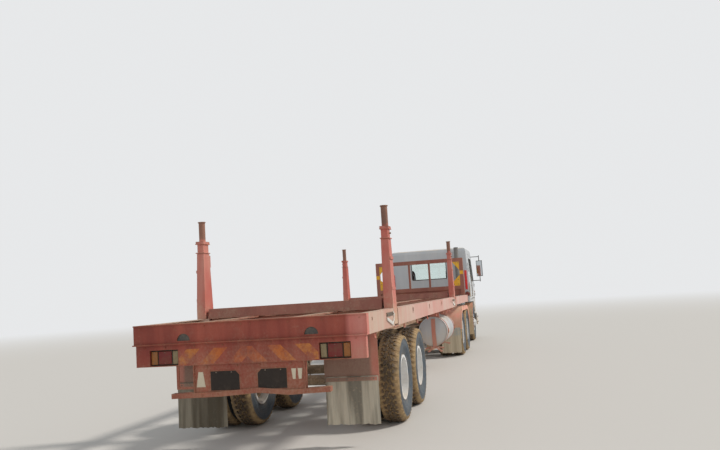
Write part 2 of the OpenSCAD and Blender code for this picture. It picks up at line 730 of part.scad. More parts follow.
module twin_tyres(d, side) color("dimgray") twin_place(d, side) {
    tyre(twin_gap / 2);
    tyre(-twin_gap / 2);
}

module twin_rims(d, side) color("lightgray") twin_place(d, side) {
    rim_ring(twin_gap / 2);
    rim_ring(-twin_gap / 2);
    disc(0, 1);
    disc(0, -1);
    hub(0, -190, 150);
}

module steer_place(side) {
    translate([at(steer_d), 0, axle_z]) on_side(side) translate([0, steer_y, 0]) children();
}

steer_disc_y = 104;

module steer_tyre(side) color("dimgray") steer_place(side) tyre(0);

module steer_rim(side) color("lightgray") steer_place(side) {
    rim_ring(0);
    disc(steer_disc_y, -1);
    hub(steer_disc_y, -65, 90);
}

// TRACTOR

frame_tail = drive_axles_d[0] - 880;
frame_nose = cab_front - 110;
rail_in = frame_y - 80;

// Channel section of a frame rail, open towards the middle
module frame_rail() {
    block([frame_tail, frame_nose], [frame_y - 9, frame_y], [frame_z, frame_top]);
    for (z = [frame_z, frame_top - 9]) block([frame_tail, frame_nose], [rail_in, frame_y], [z, z + 9]);
}

tractor_cross = [frame_tail + 20, drive_axles_d[0] - 330, bogie_d - 40, drive_axles_d[1] + 330,
    cab_rear - 900];
tilt_d = cab_front - 70;
tilt_z = cab_bottom + 40;
tilt_r = 12;
tilt_y = 250;
tow_y = 0;
tow_r = 21;
tow_z = [470, 560];

module tractor_frame() color("rosybrown") difference() {
    union() {
        both_sides() frame_rail();
        for (d = tractor_cross) {
            block([d, d + 10], [-frame_y + 9, frame_y - 9], [frame_z + 25, frame_top - 25]);
            for (z = [frame_z + 25, frame_top - 35])
                block([d, d + 70], [-rail_in + 10, rail_in - 10], [z, z + 10]);
        }
        // Nose cross-member with the cab's hinge brackets and the tow clevis
        block([frame_nose - 80, frame_nose], [-frame_y, frame_y], [frame_z - 250, frame_z]);
        block([frame_nose - 10, frame_nose], [-rail_in, rail_in], [frame_z, frame_top - 60]);
        both_sides() {
            block([frame_nose, tilt_d], [tilt_y - 45, tilt_y - 30], [tilt_z - 22, tilt_z + 22]);
            bar_y(tilt_d, [tilt_y - 45, tilt_y - 30], tilt_z, 22);
            bar_y(tilt_d, [tilt_y - 45, tilt_y + 30], tilt_z, tilt_r);
        }
        for (z = [tow_z[0], tow_z[1] - 22])
            block([frame_nose - 80, overall_len - 20], [tow_y - 60, tow_y + 60], [z, z + 22]);
        block([frame_nose - 80, frame_nose + 20], [tow_y - 60, tow_y + 60], [tow_z[0], tow_z[1]]);
    }
    bar_z(overall_len - 75, tow_y, [tow_z[0] - 1, tow_z[1] + 1], tow_r);
}

fifth_t = 45;
jaw_z = rub_z - seat - fifth_t;

// Coupling plate with its sloping entry and the throat that closes round the kingpin
module fifth_wheel() color("darkslategray") {
    top = rub_z - seat;
    difference() {
        union() {
            bar_z(kingpin_d, 0, [top - fifth_t, top], 430);
            block([kingpin_d - 520, kingpin_d], [-330, 330], [top - fifth_t, top]);
        }
        side_plate([[kingpin_d - 530, top + 1], [kingpin_d - 330, top + 1],
            [kingpin_d - 530, top - fifth_t + 12]], [-340, 340]);
        cross_plate([[-29, top - 200], [29, top - 200], [29, top + 1], [-29, top + 1]],
            [kingpin_d - 330, kingpin_d]);
        cross_plate([[-29, top - 200], [29, top - 200], [210, top + 1], [-210, top + 1]],
            [kingpin_d - 531, kingpin_d - 330]);
        bar_z(kingpin_d, 0, [top - 200, top + 1], kingpin_r + turn);
        bar_z(kingpin_d, 0, [top - 200, top - kingpin_len + collar_h + 4], kingpin_r + 18);
    }
    // Side ribs, pivot brackets and base plate on the frame
    both_sides() {
        block([kingpin_d - 220, kingpin_d + 260], [150, 170], [top - fifth_t - 70, top - fifth_t]);
        block([kingpin_d - 90, kingpin_d + 110], [300, 360], [frame_top + 16, top - fifth_t - 20]);
        block([kingpin_d - 60, kingpin_d + 60], [300, 360], [top - fifth_t - 20, top - fifth_t]);
        bar_y(kingpin_d + 10, [150, 372], top - fifth_t - 60, 24);
    }
    block([kingpin_d - 420, kingpin_d + 420], [-frame_y, frame_y], [frame_top, frame_top + 16]);
}

pinion_len = 206;

// Engine, gearbox and shafts as plain masses, on brackets between the rails
engine_d = [steer_d - 620, steer_d + 560];
gear_d = engine_d[0] - 720;

module engine() color("slategray") {
    block(engine_d, [-310, 310], [axle_z + 60, floor_h + 130]);
    block([gear_d, engine_d[0]], [-190, 190], [frame_z - 110, frame_top - 60]);
    for (d = [engine_d[0] + 60, engine_d[1] - 160])
        block([d, d + 90], [-rail_in, rail_in], [frame_z + 40, frame_z + 100]);
    bar_x([drive_axles_d[1] + pinion_len, gear_d], 0, axle_z + 120, 48);
    bar([gear_d + 20, 0, frame_z - 40], [gear_d - 30, 0, axle_z + 120], 60);
}

drive_spring_z = axle_z + 76 + 20;
drive_spring_y = frame_y + 8 + leaf_w / 2 + 22;

// A driven axle: a banjo housing with a tapered tube on each side
module drive_axle(d) {
    bar_y(d, [-backing_y, backing_y], axle_z, 76);
    translate([at(d), 0, axle_z]) sphere(r = 205);
    bar_x([d - 60, d + pinion_len], 0, axle_z + 60, 88);
    both_sides() {
        bar_y(d, [backing_y - 12, backing_y], axle_z, drum_r - 15);
        bar_y(d, [backing_y, twin_y + 44], axle_z, spindle_r);
        block([d - 75, d + 75], [drive_spring_y - leaf_w / 2 - 8, drive_spring_y + leaf_w / 2 + 8],
            [axle_z, drive_spring_z]);
        bar_x([d - 230, d - 84], drive_spring_y - 20, axle_z + 20, 52);
        block([d - 90, d - 60], [drive_spring_y - 60, drive_spring_y + 20], [axle_z - 40, axle_z + 60]);
    }
}

module drive_bogie() color("dimgray") {
    for (d = drive_axles_d) drive_axle(d);
    bar_x([drive_axles_d[0] + 180, drive_axles_d[1] - 50], 0, axle_z + 60, 45);
    both_sides() {
        // Upturned spring on its trunnion, ends on the axles
        leaf_pack(bogie_d, drive_spring_y, drive_spring_z + leaf_n * leaf_t + 70,
            drive_axle_gap / 2 + 40, -82, leaf_n, leaf_w);
        block([bogie_d - 90, bogie_d + 90],
            [drive_spring_y - leaf_w / 2 - 12, drive_spring_y + leaf_w / 2 + 12],
            [drive_spring_z - 10, drive_spring_z + 75]);
        block([bogie_d - 90, bogie_d + 90],
            [drive_spring_y - leaf_w / 2 - 12, drive_spring_y + leaf_w / 2 + 12],
            [drive_spring_z + 159, drive_spring_z + 176]);
        bar_y(bogie_d, [frame_y, drive_spring_y + leaf_w / 2 + 20], drive_spring_z - 30, 58);
        side_plate([
            [bogie_d - 200, frame_z + 190], [bogie_d + 200, frame_z + 190],
                [bogie_d + 70, drive_spring_z - 80], [bogie_d - 70, drive_spring_z - 80]
        ], [frame_y, frame_y + 22]);
        block([bogie_d - 70, bogie_d + 70], [rail_in, frame_y + 1], [drive_spring_z - 60, frame_z]);
    }
}

king_r = 20;
boss_r = 42;
boss_z = [axle_z - 60, axle_z + 60];
lug_z = [boss_z[0] - 45, boss_z[1] + 45];
front_leaf_n = 6;
front_spring_z = axle_z - 15;

// A dropped beam with a king pin at each end, on two springs under the frame rails
module front_axle() color("dimgray") {
    cross_plate([
        [-king_y + 20, axle_z - 50], [-king_y + 120, axle_z - 95], [king_y - 120, axle_z - 95],
            [king_y - 20, axle_z - 50],
        [king_y - 20, axle_z + 40], [king_y - 150, axle_z - 15], [-king_y + 150, axle_z - 15],
            [-king_y + 20, axle_z + 40]
    ], [steer_d - 45, steer_d + 45]);
    both_sides() {
        bar_z(steer_d, king_y, boss_z, boss_r);
        bar_z(steer_d, king_y, lug_z, king_r);
        leaf_pack(steer_d, frame_y - 40, front_spring_z, 720, 110, front_leaf_n, 80);
        block([steer_d - 75, steer_d + 75], [frame_y - 85, frame_y + 5], [axle_z - 30, front_spring_z + 6]);
        for (e = [-1, 1]) bar_z(steer_d + e * 60, frame_y - 40 + 53,
            [axle_z - 110, front_spring_z + front_leaf_n * leaf_t + 20], 8);
        block([steer_d - 75, steer_d + 75], [frame_y - 90, frame_y + 56],
            [front_spring_z + front_leaf_n * leaf_t, front_spring_z + front_leaf_n * leaf_t + 12]);
        block([steer_d - 75, steer_d + 75], [frame_y - 90, frame_y + 56], [axle_z - 107, axle_z - 95]);
        for (e = [-1, 1]) side_plate([
            [steer_d + e * 640, frame_z], [steer_d + e * 790, frame_z],
                [steer_d + e * 740, frame_z - 120], [steer_d + e * 690, frame_z - 120]
        ], [frame_y - 80, frame_y]);
    }
}

arm_back = 220;
arm_y = king_y;
ball_r = 9;
arm_z = [lug_z[0], lug_z[0] + 22];

// Steering knuckle: two lugs round the king pin, the spindle and the steering arm
module knuckle(side) color("dimgray") on_side(side) difference() {
    union() {
        for (z = [[lug_z[0], boss_z[0] - 2], [boss_z[1] + 2, lug_z[1]]]) {
            bar_z(steer_d, king_y, z, boss_r);
            block([steer_d - boss_r, steer_d + boss_r], [king_y, king_y + 62], z);
        }
        block([steer_d - boss_r, steer_d + boss_r], [king_y + 46, king_y + 62], lug_z);
        bar_y(steer_d, [king_y + 46, king_y + 66], axle_z, 95);
        bar_y(steer_d, [king_y + 62, steer_y + steer_disc_y + 30], axle_z, spindle_r);
        // Arm back to the tie rod
        translate([at(steer_d), 0, arm_z[0]]) linear_extrude(arm_z[1] - arm_z[0])
            polygon([[20, king_y + 40], [20, king_y - 20], [-arm_back - 16, arm_y - 18],
                [-arm_back - 16, arm_y + 18], [-60, king_y + 18]]);
        bar_z(steer_d - arm_back, arm_y, [arm_z[0] - 34, arm_z[0] + 10], ball_r);
    }
    bar_z(steer_d, king_y, [lug_z[0] - 60, lug_z[1] + 1], king_r + turn);
}

// Rod that joins the two steering arms
module tie_rod() color("dimgray") difference() {
    union() {
        bar_y(steer_d - arm_back, [-arm_y + 12, arm_y - 12], arm_z[0] - 17, 13);
        both_sides() bar_z(steer_d - arm_back, arm_y, [arm_z[0] - 32, arm_z[0] - 2], 20);
    }
    both_sides() bar_z(steer_d - arm_back, arm_y, [arm_z[0] - 60, arm_z[0] + 20], ball_r + turn);
}

fuel_d = [cab_rear - 1120, cab_rear - 1120 + fuel_len];
fuel_y = frame_y + 45 + fuel_r;
fuel_z = frame_top - fuel_r - 40;

// Fuel tank on the left, battery box and air reservoirs on the right, with their straps and brackets
module fuel_tank() color("silver") {
    bar_x(fuel_d, fuel_y, fuel_z, fuel_r);
    for (d = [fuel_d[0] + 150, fuel_d[1] - 200]) {
        bar_x([d, d + 50], fuel_y, fuel_z, fuel_r + 5);
        block([d, d + 50], [frame_y, fuel_y], [fuel_z - 30, fuel_z + 30]);
        block([d, d + 50], [frame_y, frame_y + 14], [frame_z - 100, frame_top]);
    }
    bar_z(fuel_d[0] + 320, fuel_y, [fuel_z, fuel_z + fuel_r + 40], 55);
    on_side(-1) {
        block([fuel_d[0] + 430, fuel_d[1]], [frame_y, frame_y + 560], [frame_z - 180, frame_z + 190]);
        for (z = [frame_z - 120, frame_z + 110]) {
            bar_x([fuel_d[0] - 60, fuel_d[0] + 400], frame_y + 350, z, 95);
            for (d = [fuel_d[0] + 20, fuel_d[0] + 300])
                block([d, d + 40], [frame_y, frame_y + 350], [z - 20, z + 20]);
        }
        block([fuel_d[0] + 390, fuel_d[0] + 440], [frame_y, frame_y + 460], [frame_z - 160, frame_z + 160]);
    }
}

stack_d = cab_rear - 230;
stack_y = -870;

// Silencer and upright stack behind the cab, on an outrigger from the frame
module exhaust() color("dimgray") {
    bar_z(stack_d, stack_y, [frame_top + 60, frame_top + 760], 125);
    bar_z(stack_d, stack_y, [frame_top + 760, cab_top - 20], 62);
    block([stack_d - 70, stack_d + 70], [stack_y - 90, -frame_y], [frame_top + 20, frame_top + 60]);
    block([stack_d - 70, stack_d + 70], [-frame_y - 10, -frame_y], [frame_z + 195, frame_top + 60]);
}

fender_gap = 72;
fender_r = axle_z + fender_gap;
fender_t = 8;
fender_y = [twin_y - 300, half_w];
fender_z = 640;
skirt_h = 95;

// Side outline of a fender over both drive axles: true arcs at the ends and a flat between them
module fender_outline(r) {
    for (d = drive_axles_d) translate([at(d), axle_z]) circle(r = r);
    translate([at(drive_axles_d[0]), 0]) square([drive_axle_gap, axle_z + r]);
}

module fender_slab(r_out, r_in, y) {
    translate([0, y[1], 0]) rotate([90, 0, 0]) linear_extrude(y[1] - y[0]) difference() {
        fender_outline(r_out);
        fender_outline(r_in);
        translate([at(drive_axles_d[0]) - 800, -100]) square([drive_axle_gap + 1600, fender_z + 100]);
    }
}

module rear_fenders() color("lightsalmon") both_sides() {
    fender_slab(fender_r, fender_r - fender_t, fender_y);
    fender_slab(fender_r, fender_r - skirt_h, [fender_y[1] - 6, fender_y[1]]);
    // Brackets to the frame, and the bars that the flaps hang from
    for (d = [drive_axles_d[0] + 100, bogie_d, drive_axles_d[1] - 100]) {
        block([d - 30, d + 30], [frame_y, frame_y + 185], [frame_top - 60, frame_top - 30]);
        block([d - 30, d + 30], [frame_y + 173, frame_y + 185], [frame_top - 60, axle_z + fender_r - 5]);
        block([d - 30, d + 30], [frame_y + 173, fender_y[0] + 100],
            [axle_z + fender_r - 30, axle_z + fender_r - 5]);
    }
    for (s = [-1, 1]) let (d = bogie_d + s * (drive_axle_gap / 2 + fender_r))
        block([d - 14, d + 14], fender_y, [fender_z, fender_z + 45]);
}

module tractor_mud_flaps() color("darkkhaki") both_sides()
    block([drive_axles_d[0] - fender_r - 22 - seat, drive_axles_d[0] - fender_r - 14 - seat],
        [fender_y[0] + 120, fender_y[1] - 35], [100, fender_z + 40]);

guard_r = 648;
guard_y = [king_y - 20, cab_w / 2 + 10];

// Quarter mudguards behind the steered wheels, each with its flap, on a stay from the frame
module front_mudguards() color("sandybrown") both_sides() {
    translate([at(steer_d), guard_y[1], axle_z]) rotate([90, 0, 0]) rotate([0, 0, 112])
        rotate_extrude(angle = 82)
        translate([guard_r, 0]) square([8, guard_y[1] - guard_y[0]]);
    block([steer_d - guard_r - 10, steer_d - guard_r], guard_y, [220, axle_z]);
    block([steer_d - guard_r - 30, steer_d - guard_r + 50], [frame_y, guard_y[1]],
        [frame_z + 10, frame_z + 40]);
}

bumper_z = [cab_bottom - 40 - bumper_h, cab_bottom - 40];
bumper_half = cab_w / 2 + 40;
lamp_w = 330;
lamp_h = 150;
head_y = bumper_half - 455;
lamp_z = bumper_z[0] + 180;

// Hollow bumper with round ends, two lamp openings, number plate recess and tow opening
module bumper() color("whitesmoke") difference() {
    union() {
        difference() {
            translate([0, 0, bumper_z[0]]) linear_extrude(bumper_h)
                round_rect([at(cab_front - 420), -bumper_half], [at(overall_len), bumper_half], 5, 150);
            translate([0, 0, bumper_z[0] - 1]) linear_extrude(bumper_h - 29)
                round_rect([at(cab_front - 430), -bumper_half + 30],
                    [at(overall_len - 30), bumper_half - 30], 5, 120);
            block([cab_front - 430, overall_len - 120], [-bumper_half + 175, bumper_half - 175],
                [bumper_z[1] - 40, bumper_z[1] + 1]);
        }
        // Brackets to the frame's nose
        both_sides() block([frame_nose, overall_len - 30], [rail_in - 60, rail_in],
            [bumper_z[0] + 60, bumper_z[0] + 200]);
    }
    both_sides() block([overall_len - 31, overall_len + 1],
        [head_y - lamp_w / 2 - 4, head_y + lamp_w / 2 + 4],
        [lamp_z - lamp_h / 2 - 4, lamp_z + lamp_h / 2 + 4]);
    block([overall_len - 31, overall_len + 1], [-90, 90], [tow_z[0] - 20, tow_z[1] + 20]);
}

module headlamps() color("white") both_sides() {
    block([overall_len - 90, overall_len - 8], [head_y - lamp_w / 2, head_y + lamp_w / 2],
        [lamp_z - lamp_h / 2, lamp_z + lamp_h / 2]);
    block([overall_len - 90, overall_len - 30], [head_y - 30, head_y + 30],
        [lamp_z + lamp_h / 2, bumper_z[1] - 30]);
}

// CAB

roof_edge = 90;
screen_top = cab_top - 200;
tumble = 55;
arch_r = 640;

// The cab's side, plan and front outlines, each drawn in by t; the cab's form is where all three meet
module cab_side(t) {
    translate([0, cab_w, 0]) rotate([90, 0, 0]) linear_extrude(2 * cab_w) offset(delta = -t) polygon([
        for (p = [
            [cab_rear, floor_h], [cab_front - 900, floor_h], [cab_front - 560, cab_bottom],
                [cab_front - 25, cab_bottom],
            [cab_front, cab_bottom + 60], [cab_front, waist_h], [cab_front - 190, screen_top],
            [cab_front - 290, cab_top - 75], [cab_front - 480, cab_top - 12], [cab_front - 760, cab_top],
            [cab_rear + 130, cab_top], [cab_rear + 35, cab_top - 30], [cab_rear, cab_top - 110]
        ]) [at(p[0]), p[1]]
    ]);
}

module cab_plan(t) {
    linear_extrude(cab_top + 100)
        round_rect([at(cab_rear + t), -cab_w / 2 + t], [at(cab_front - t), cab_w / 2 - t], 60, 230);
}

module cab_front_view(t) {
    half = cab_w / 2;
    translate([at(cab_rear - 100), 0, 0]) rotate([90, 0, 90]) linear_extrude(cab_len + 200)
        offset(delta = -t) polygon(concat(
        [[-half, cab_bottom - 200], [half, cab_bottom - 200], [half, waist_h]],
        arc([half - tumble - roof_edge, cab_top - roof_edge], roof_edge, 4, 90, 4),
        [for (p = arc([half - tumble - roof_edge, cab_top - roof_edge], roof_edge, 90, 4, 4)) [-p[0],
            p[1]]],
        [[-half, waist_h]]
    ));
}

module cab_form(t) {
    intersection() {
        cab_side(t);
        cab_plan(t);
        cab_front_view(t);
    }
}

tunnel_y = 400;
tunnel_top = floor_h + 210;
sheet = 30;
door_front = cab_front - 330;
door_rear = door_front - 1080;
door_z = floor_h + 60;
door_top = cab_top - 230;
hinge_y = cab_w / 2 + 14;
hinge_d = door_front + door_gap / 2;
hinge_zs = [door_z + 90, waist_h - 130];
pane_z = [waist_h + 40, door_top - 90];

// A door's outline, drawn in by g, with its front edge sloping above the waist
function door_outline(g) = [
    [door_front - g, door_z + g], [door_front - g, waist_h], [door_front - 120 - g, door_top - g],
    [door_rear + g, door_top - g], [door_rear + g, door_z + g]
];

function pane_outline(g) = [
    [door_front - 95 - g, pane_z[0] + g], [door_front - 185 - g, pane_z[1] - g],
    [door_rear + 90 + g, pane_z[1] - g], [door_rear + 90 + g, pane_z[0] + g]
];

module screen_region(g) {
    half = cab_w / 2 - 165;
    block([cab_front - 420, cab_front + 10], [-half + g, half - g],
        [waist_h + 50 + g, screen_top - 40 - g]);
}

module back_region(g) {
    block([cab_rear - 10, cab_rear + 70], [-520 + g, 520 - g], [waist_h + 160 + g, cab_top - 330 - g]);
}

// Half of a door hinge: a pin on the cab, between two ears
module hinge_pin(z) {
    bar_z(hinge_d, hinge_y, [z, z + 90], 7);
    for (e = [z, z + 74]) {
        bar_z(hinge_d, hinge_y, [e, e + 16], 13);
        block([hinge_d, hinge_d + 45], [cab_w / 2 - 2, hinge_y + 12], [e, e + 16]);
    }
}

module cab_shell() color("silver") {
    difference() {
        cab_form(0);
        // Cabin above the floor, left standing over the engine tunnel
        difference() {
            intersection() {
                cab_form(wall);
                block([cab_rear, cab_front], [-cab_w, cab_w], [floor_h + sheet, cab_top]);
            }
            block([cab_rear - 1, cab_front - 430], [-tunnel_y - sheet, tunnel_y + sheet],
                [floor_h - 1, tunnel_top + sheet]);
        }
        block([cab_rear - 1, cab_front - 460], [-tunnel_y, tunnel_y], [floor_h - 1, tunnel_top]);
        // Open space under the floor behind the front panel
        intersection() {
            cab_plan(wall);
            block([cab_front - 950, cab_front], [-cab_w, cab_w], [cab_bottom - 1, floor_h]);
        }
        translate([at(steer_d), cab_w, axle_z]) rotate([90, 0, 0]) cylinder(r = arch_r, h = 2 * cab_w);
        side_plate(door_outline(0), [cab_w / 2 - door_t - 80, cab_w]);
        side_plate(door_outline(0), [-cab_w, -cab_w / 2 + door_t + 80]);
        screen_region(0);
        back_region(0);
    }
    both_sides() for (z = hinge_zs) hinge_pin(z);
    // Sun visor above the windscreen
    side_plate([
        [cab_front - 222, screen_top + 4], [cab_front - 214, screen_top + 28],
        [cab_front + 18, screen_top - 42], [cab_front + 10, screen_top - 62]
    ], [-cab_w / 2 + 190, cab_w / 2 - 190]);
    // Arms down to the tilt hinge
    both_sides() difference() {
        union() {
            block([tilt_d - 25, cab_front - wall + 1], [tilt_y - 22, tilt_y + 8], [tilt_z, floor_h]);
            bar_y(tilt_d, [tilt_y - 22, tilt_y + 8], tilt_z, 25);
        }
        bar_y(tilt_d, [tilt_y - 30, tilt_y + 20], tilt_z, tilt_r + turn);
    }
}

// A door cut from the cab's own form, with its window and its half of the hinges
module door(side) color("silver") on_side(side) {
    difference() {
        intersection() {
            difference() {
                cab_form(0);
                cab_form(door_t);
            }
            side_plate(door_outline(door_gap), [cab_w / 2 - 200, cab_w]);
        }
        side_plate(pane_outline(0), [cab_w / 2 - 300, cab_w]);
        for (z = hinge_zs) block([door_front - 30, door_front + 30], [cab_w / 2 - 12, cab_w],
            [z - 2, z + 92]);
    }
    // Handle
    block([door_rear + 70, door_rear + 215], [cab_w / 2 + 12, cab_w / 2 + 26],
        [waist_h - 120, waist_h - 94]);
    for (d = [door_rear + 70, door_rear + 190])
        block([d, d + 25], [cab_w / 2 - 3, cab_w / 2 + 13], [waist_h - 120, waist_h - 94]);
    difference() {
        for (z = hinge_zs) {
            bar_z(hinge_d, hinge_y, [z + 18, z + 72], 13);
            block([hinge_d - 48, hinge_d - 8], [hinge_y - 9, hinge_y + 9], [z + 18, z + 72]);
            block([hinge_d - 48, hinge_d - 34], [cab_w / 2 - 13, hinge_y + 9], [z + 18, z + 72]);
        }
        for (z = hinge_zs) bar_z(hinge_d, hinge_y, [z, z + 90], 7 + turn);
    }
}

module door_glass(side) color("lightblue") on_side(side) intersection() {
    difference() {
        cab_form(24);
        cab_form(24 + glass_t);
    }
    side_plate(pane_outline(seat), [cab_w / 2 - 250, cab_w]);
}

module cab_glass() color("lightblue") {
    intersection() {
        difference() {
            cab_form(16);
            cab_form(16 + glass_t);
        }
        union() {
            screen_region(seat);
            back_region(seat);
        }
    }
}

grille_z = [1060, 1600];
slat_n = 7;
grille_half = cab_w / 2 - 415;

module grille() color("dimgray") {
    pitch = (grille_z[1] - grille_z[0]) / slat_n;
    for (i = [0:slat_n]) block([cab_front, cab_front + 26], [-grille_half, grille_half],
        [grille_z[0] + i * pitch - 16, grille_z[0] + i * pitch + 16]);
    for (s = [-1, 0, 1]) let (y = s * (grille_half - 25))
        block([cab_front, cab_front + 18], [y - 25, y + 25], grille_z);
}

seat_w = 480;

module bucket_seat(y) {
    d = cab_rear + 330;
    z = floor_h + wall;
    block([d + 40, d + 420], [y - 150, y + 150], [z, z + 280]);
    block([d, d + 520], [y - seat_w / 2, y + seat_w / 2], [z + 280, z + 400]);
    side_plate([[d, z + 400], [d + 130, z + 400], [d + 10, z + 1000], [d - 110, z + 1000]],
        [y - seat_w / 2, y + seat_w / 2]);
}

// How far a seat's middle lies to the side
seat_y = cab_w / 2 - 475;

module seats() color("dimgray") for (s = [-1, 1]) bucket_seat(s * seat_y);

dash_half = cab_w / 2 - 295;
// Height of the dashboard's lower edge, and place of the steering column
dash_low = waist_h - 220;
column_y = -seat_y + 80;

// Dashboard and steering wheel
module cab_interior() color("darkslategray") {
    side_plate([
        [cab_front - wall, dash_low], [cab_front - wall, waist_h - 10],
            [cab_front - 300, waist_h - 10],
        [cab_front - 380, waist_h - 130], [cab_front - 330, dash_low]
    ], [-dash_half, dash_half]);
    block([cab_front - 330, cab_front - 250], [-60, 60], [dash_low - 140 + sheet, dash_low + 1]);
    bar([cab_front - 340, column_y, waist_h - 160], [cab_front - 640, column_y, waist_h + 60], 28);
    translate([at(cab_front - 640), column_y, waist_h + 60]) rotate([0, -54, 0]) {
        rotate_extrude() translate([225, 0]) circle(r = 16, $fn = 24);
        for (a = [0, 120, 240]) rotate([0, 0, a]) translate([0, -18, -8]) cube([225, 36, 16]);
    }
}

arm_zs = [waist_h + 60, screen_top - 30];

// Mirrors on two arms from the front pillars
module mirrors() color("black") both_sides() {
    d = cab_front - 150;
    difference() {
        for (z = arm_zs) bar([d - 40, cab_w / 2 - 60, z], [d, mirror_y, z], 11);
        cab_form(-seat);
    }
    bar_z(d, mirror_y, [arm_zs[0] - 40, arm_zs[1] + 40], 12);
    block([d - 50, d + 10], [mirror_y - 95, mirror_y + 95], [arm_zs[0] + 130, arm_zs[1] - 130]);
}

trailer_frame();
side_rails();
rear_beam();
tail_lamps();
bolsters();
headboard();
trailer_mud_flaps();
trailer_bogie();
landing_gear();
water_tank();
tank_cradle();
stake(rear_stake_d, 1);  // stake_rear_left
stake(rear_stake_d, -1);  // stake_rear_right
stake(front_stake_d, 1);  // stake_front_left
stake(front_stake_d, -1);  // stake_front_right
twin_tyres(trailer_axles_d[0], 1);  // tyres_trailer_rear_left
twin_tyres(trailer_axles_d[0], -1);  // tyres_trailer_rear_right
twin_tyres(trailer_axles_d[1], 1);  // tyres_trailer_front_left
twin_tyres(trailer_axles_d[1], -1);  // tyres_trailer_front_right
twin_rims(trailer_axles_d[0], 1);  // rims_trailer_rear_left
twin_rims(trailer_axles_d[0], -1);  // rims_trailer_rear_right
twin_rims(trailer_axles_d[1], 1);  // rims_trailer_front_left
twin_rims(trailer_axles_d[1], -1);  // rims_trailer_front_right
tractor_frame();
fifth_wheel();
engine();
drive_bogie();
front_axle();
fuel_tank();
exhaust();
rear_fenders();
tractor_mud_flaps();
front_mudguards();
bumper();
headlamps();
cab_shell();
grille();
cab_glass();
cab_interior();
seats();
mirrors();
door(1);  // door_left
door(-1);  // door_right
door_glass(1);  // door_glass_left
door_glass(-1);  // door_glass_right
knuckle(1);  // knuckle_left
knuckle(-1);  // knuckle_right
tie_rod();
steer_tyre(1);  // tyre_steer_left
steer_tyre(-1);  // tyre_steer_right
steer_rim(1);  // rim_steer_left
steer_rim(-1);  // rim_steer_right
twin_tyres(drive_axles_d[0], 1);  // tyres_drive_rear_left
twin_tyres(drive_axles_d[0], -1);  // tyres_drive_rear_right
twin_tyres(drive_axles_d[1], 1);  // tyres_drive_front_left
twin_tyres(drive_axles_d[1], -1);  // tyres_drive_front_right
twin_rims(drive_axles_d[0], 1);  // rims_drive_rear_left
twin_rims(drive_axles_d[0], -1);  // rims_drive_rear_right
twin_rims(drive_axles_d[1], 1);  // rims_drive_front_left
twin_rims(drive_axles_d[1], -1);  // rims_drive_front_right
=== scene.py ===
# %% [markdown]
# A log lorry, dressed. The frame brings the construction: every beam, wheel, hinge and panel at its
# real size. This notebook gives each of them its finish, and adds what is too small for construction:
# tread, wheel nuts, lenses, gaskets, chains and worn rubber. All lengths are metres, X runs forwards,
# Y to the left and Z up.

# %% Load the frame
import json
import math
import random

import bmesh
import bpy
from mathutils import Matrix, Vector

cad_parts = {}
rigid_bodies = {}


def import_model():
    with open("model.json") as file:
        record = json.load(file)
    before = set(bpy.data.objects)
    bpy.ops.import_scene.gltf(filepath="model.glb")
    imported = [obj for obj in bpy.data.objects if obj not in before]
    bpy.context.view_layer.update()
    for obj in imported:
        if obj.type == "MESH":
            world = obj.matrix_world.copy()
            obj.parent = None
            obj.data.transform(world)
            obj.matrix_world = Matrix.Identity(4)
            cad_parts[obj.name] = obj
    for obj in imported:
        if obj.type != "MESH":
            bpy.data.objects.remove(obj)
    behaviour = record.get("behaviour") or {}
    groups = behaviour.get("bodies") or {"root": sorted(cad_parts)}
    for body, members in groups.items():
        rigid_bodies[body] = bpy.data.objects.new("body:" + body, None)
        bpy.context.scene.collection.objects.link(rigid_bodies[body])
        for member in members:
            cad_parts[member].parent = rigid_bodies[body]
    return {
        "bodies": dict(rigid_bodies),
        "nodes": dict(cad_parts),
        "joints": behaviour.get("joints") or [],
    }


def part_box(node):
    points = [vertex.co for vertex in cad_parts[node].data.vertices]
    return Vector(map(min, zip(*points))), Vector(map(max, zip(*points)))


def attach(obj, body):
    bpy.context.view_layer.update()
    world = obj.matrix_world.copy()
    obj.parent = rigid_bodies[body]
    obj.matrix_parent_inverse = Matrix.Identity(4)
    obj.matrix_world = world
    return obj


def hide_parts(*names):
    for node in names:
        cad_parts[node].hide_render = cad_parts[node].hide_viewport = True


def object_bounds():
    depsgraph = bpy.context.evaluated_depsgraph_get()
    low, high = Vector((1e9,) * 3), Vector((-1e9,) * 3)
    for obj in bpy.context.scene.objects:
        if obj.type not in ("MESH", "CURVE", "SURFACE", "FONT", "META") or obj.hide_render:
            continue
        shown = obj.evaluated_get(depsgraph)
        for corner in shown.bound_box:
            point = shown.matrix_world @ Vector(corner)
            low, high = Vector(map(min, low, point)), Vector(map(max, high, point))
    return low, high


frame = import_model()
nodes = frame["nodes"]
cad_low, cad_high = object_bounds()
rear_x = cad_low.x
side_words = {1: "left", -1: "right"}
random.seed(7)


def at(distance):
    """X of a place that lies this far ahead of the trailer's rear face."""
    return rear_x + distance


def show(thing):
    """Puts a new object into the scene."""
    bpy.context.scene.collection.objects.link(thing)


print("frame", [round(v, 3) for v in (*cad_low, *cad_high)])

# %% [markdown]
# The lorry is seen from close behind its right rear corner. The camera is tilted and rolled a little,
# so the lorry leans in the picture. A camera is placed by three arrows: where it looks, what is its
# right, and what is its up. They come from the turn to the left, the tilt up and the roll, which keeps
# them readable; an empty that the camera tracks could not give the roll.

# %% Camera
camera_place = Vector((at(-6.610), -2.761, 1.581))
camera_turn = math.radians(12.856)
camera_tilt = math.radians(5.697)
camera_roll = math.radians(-3.659)

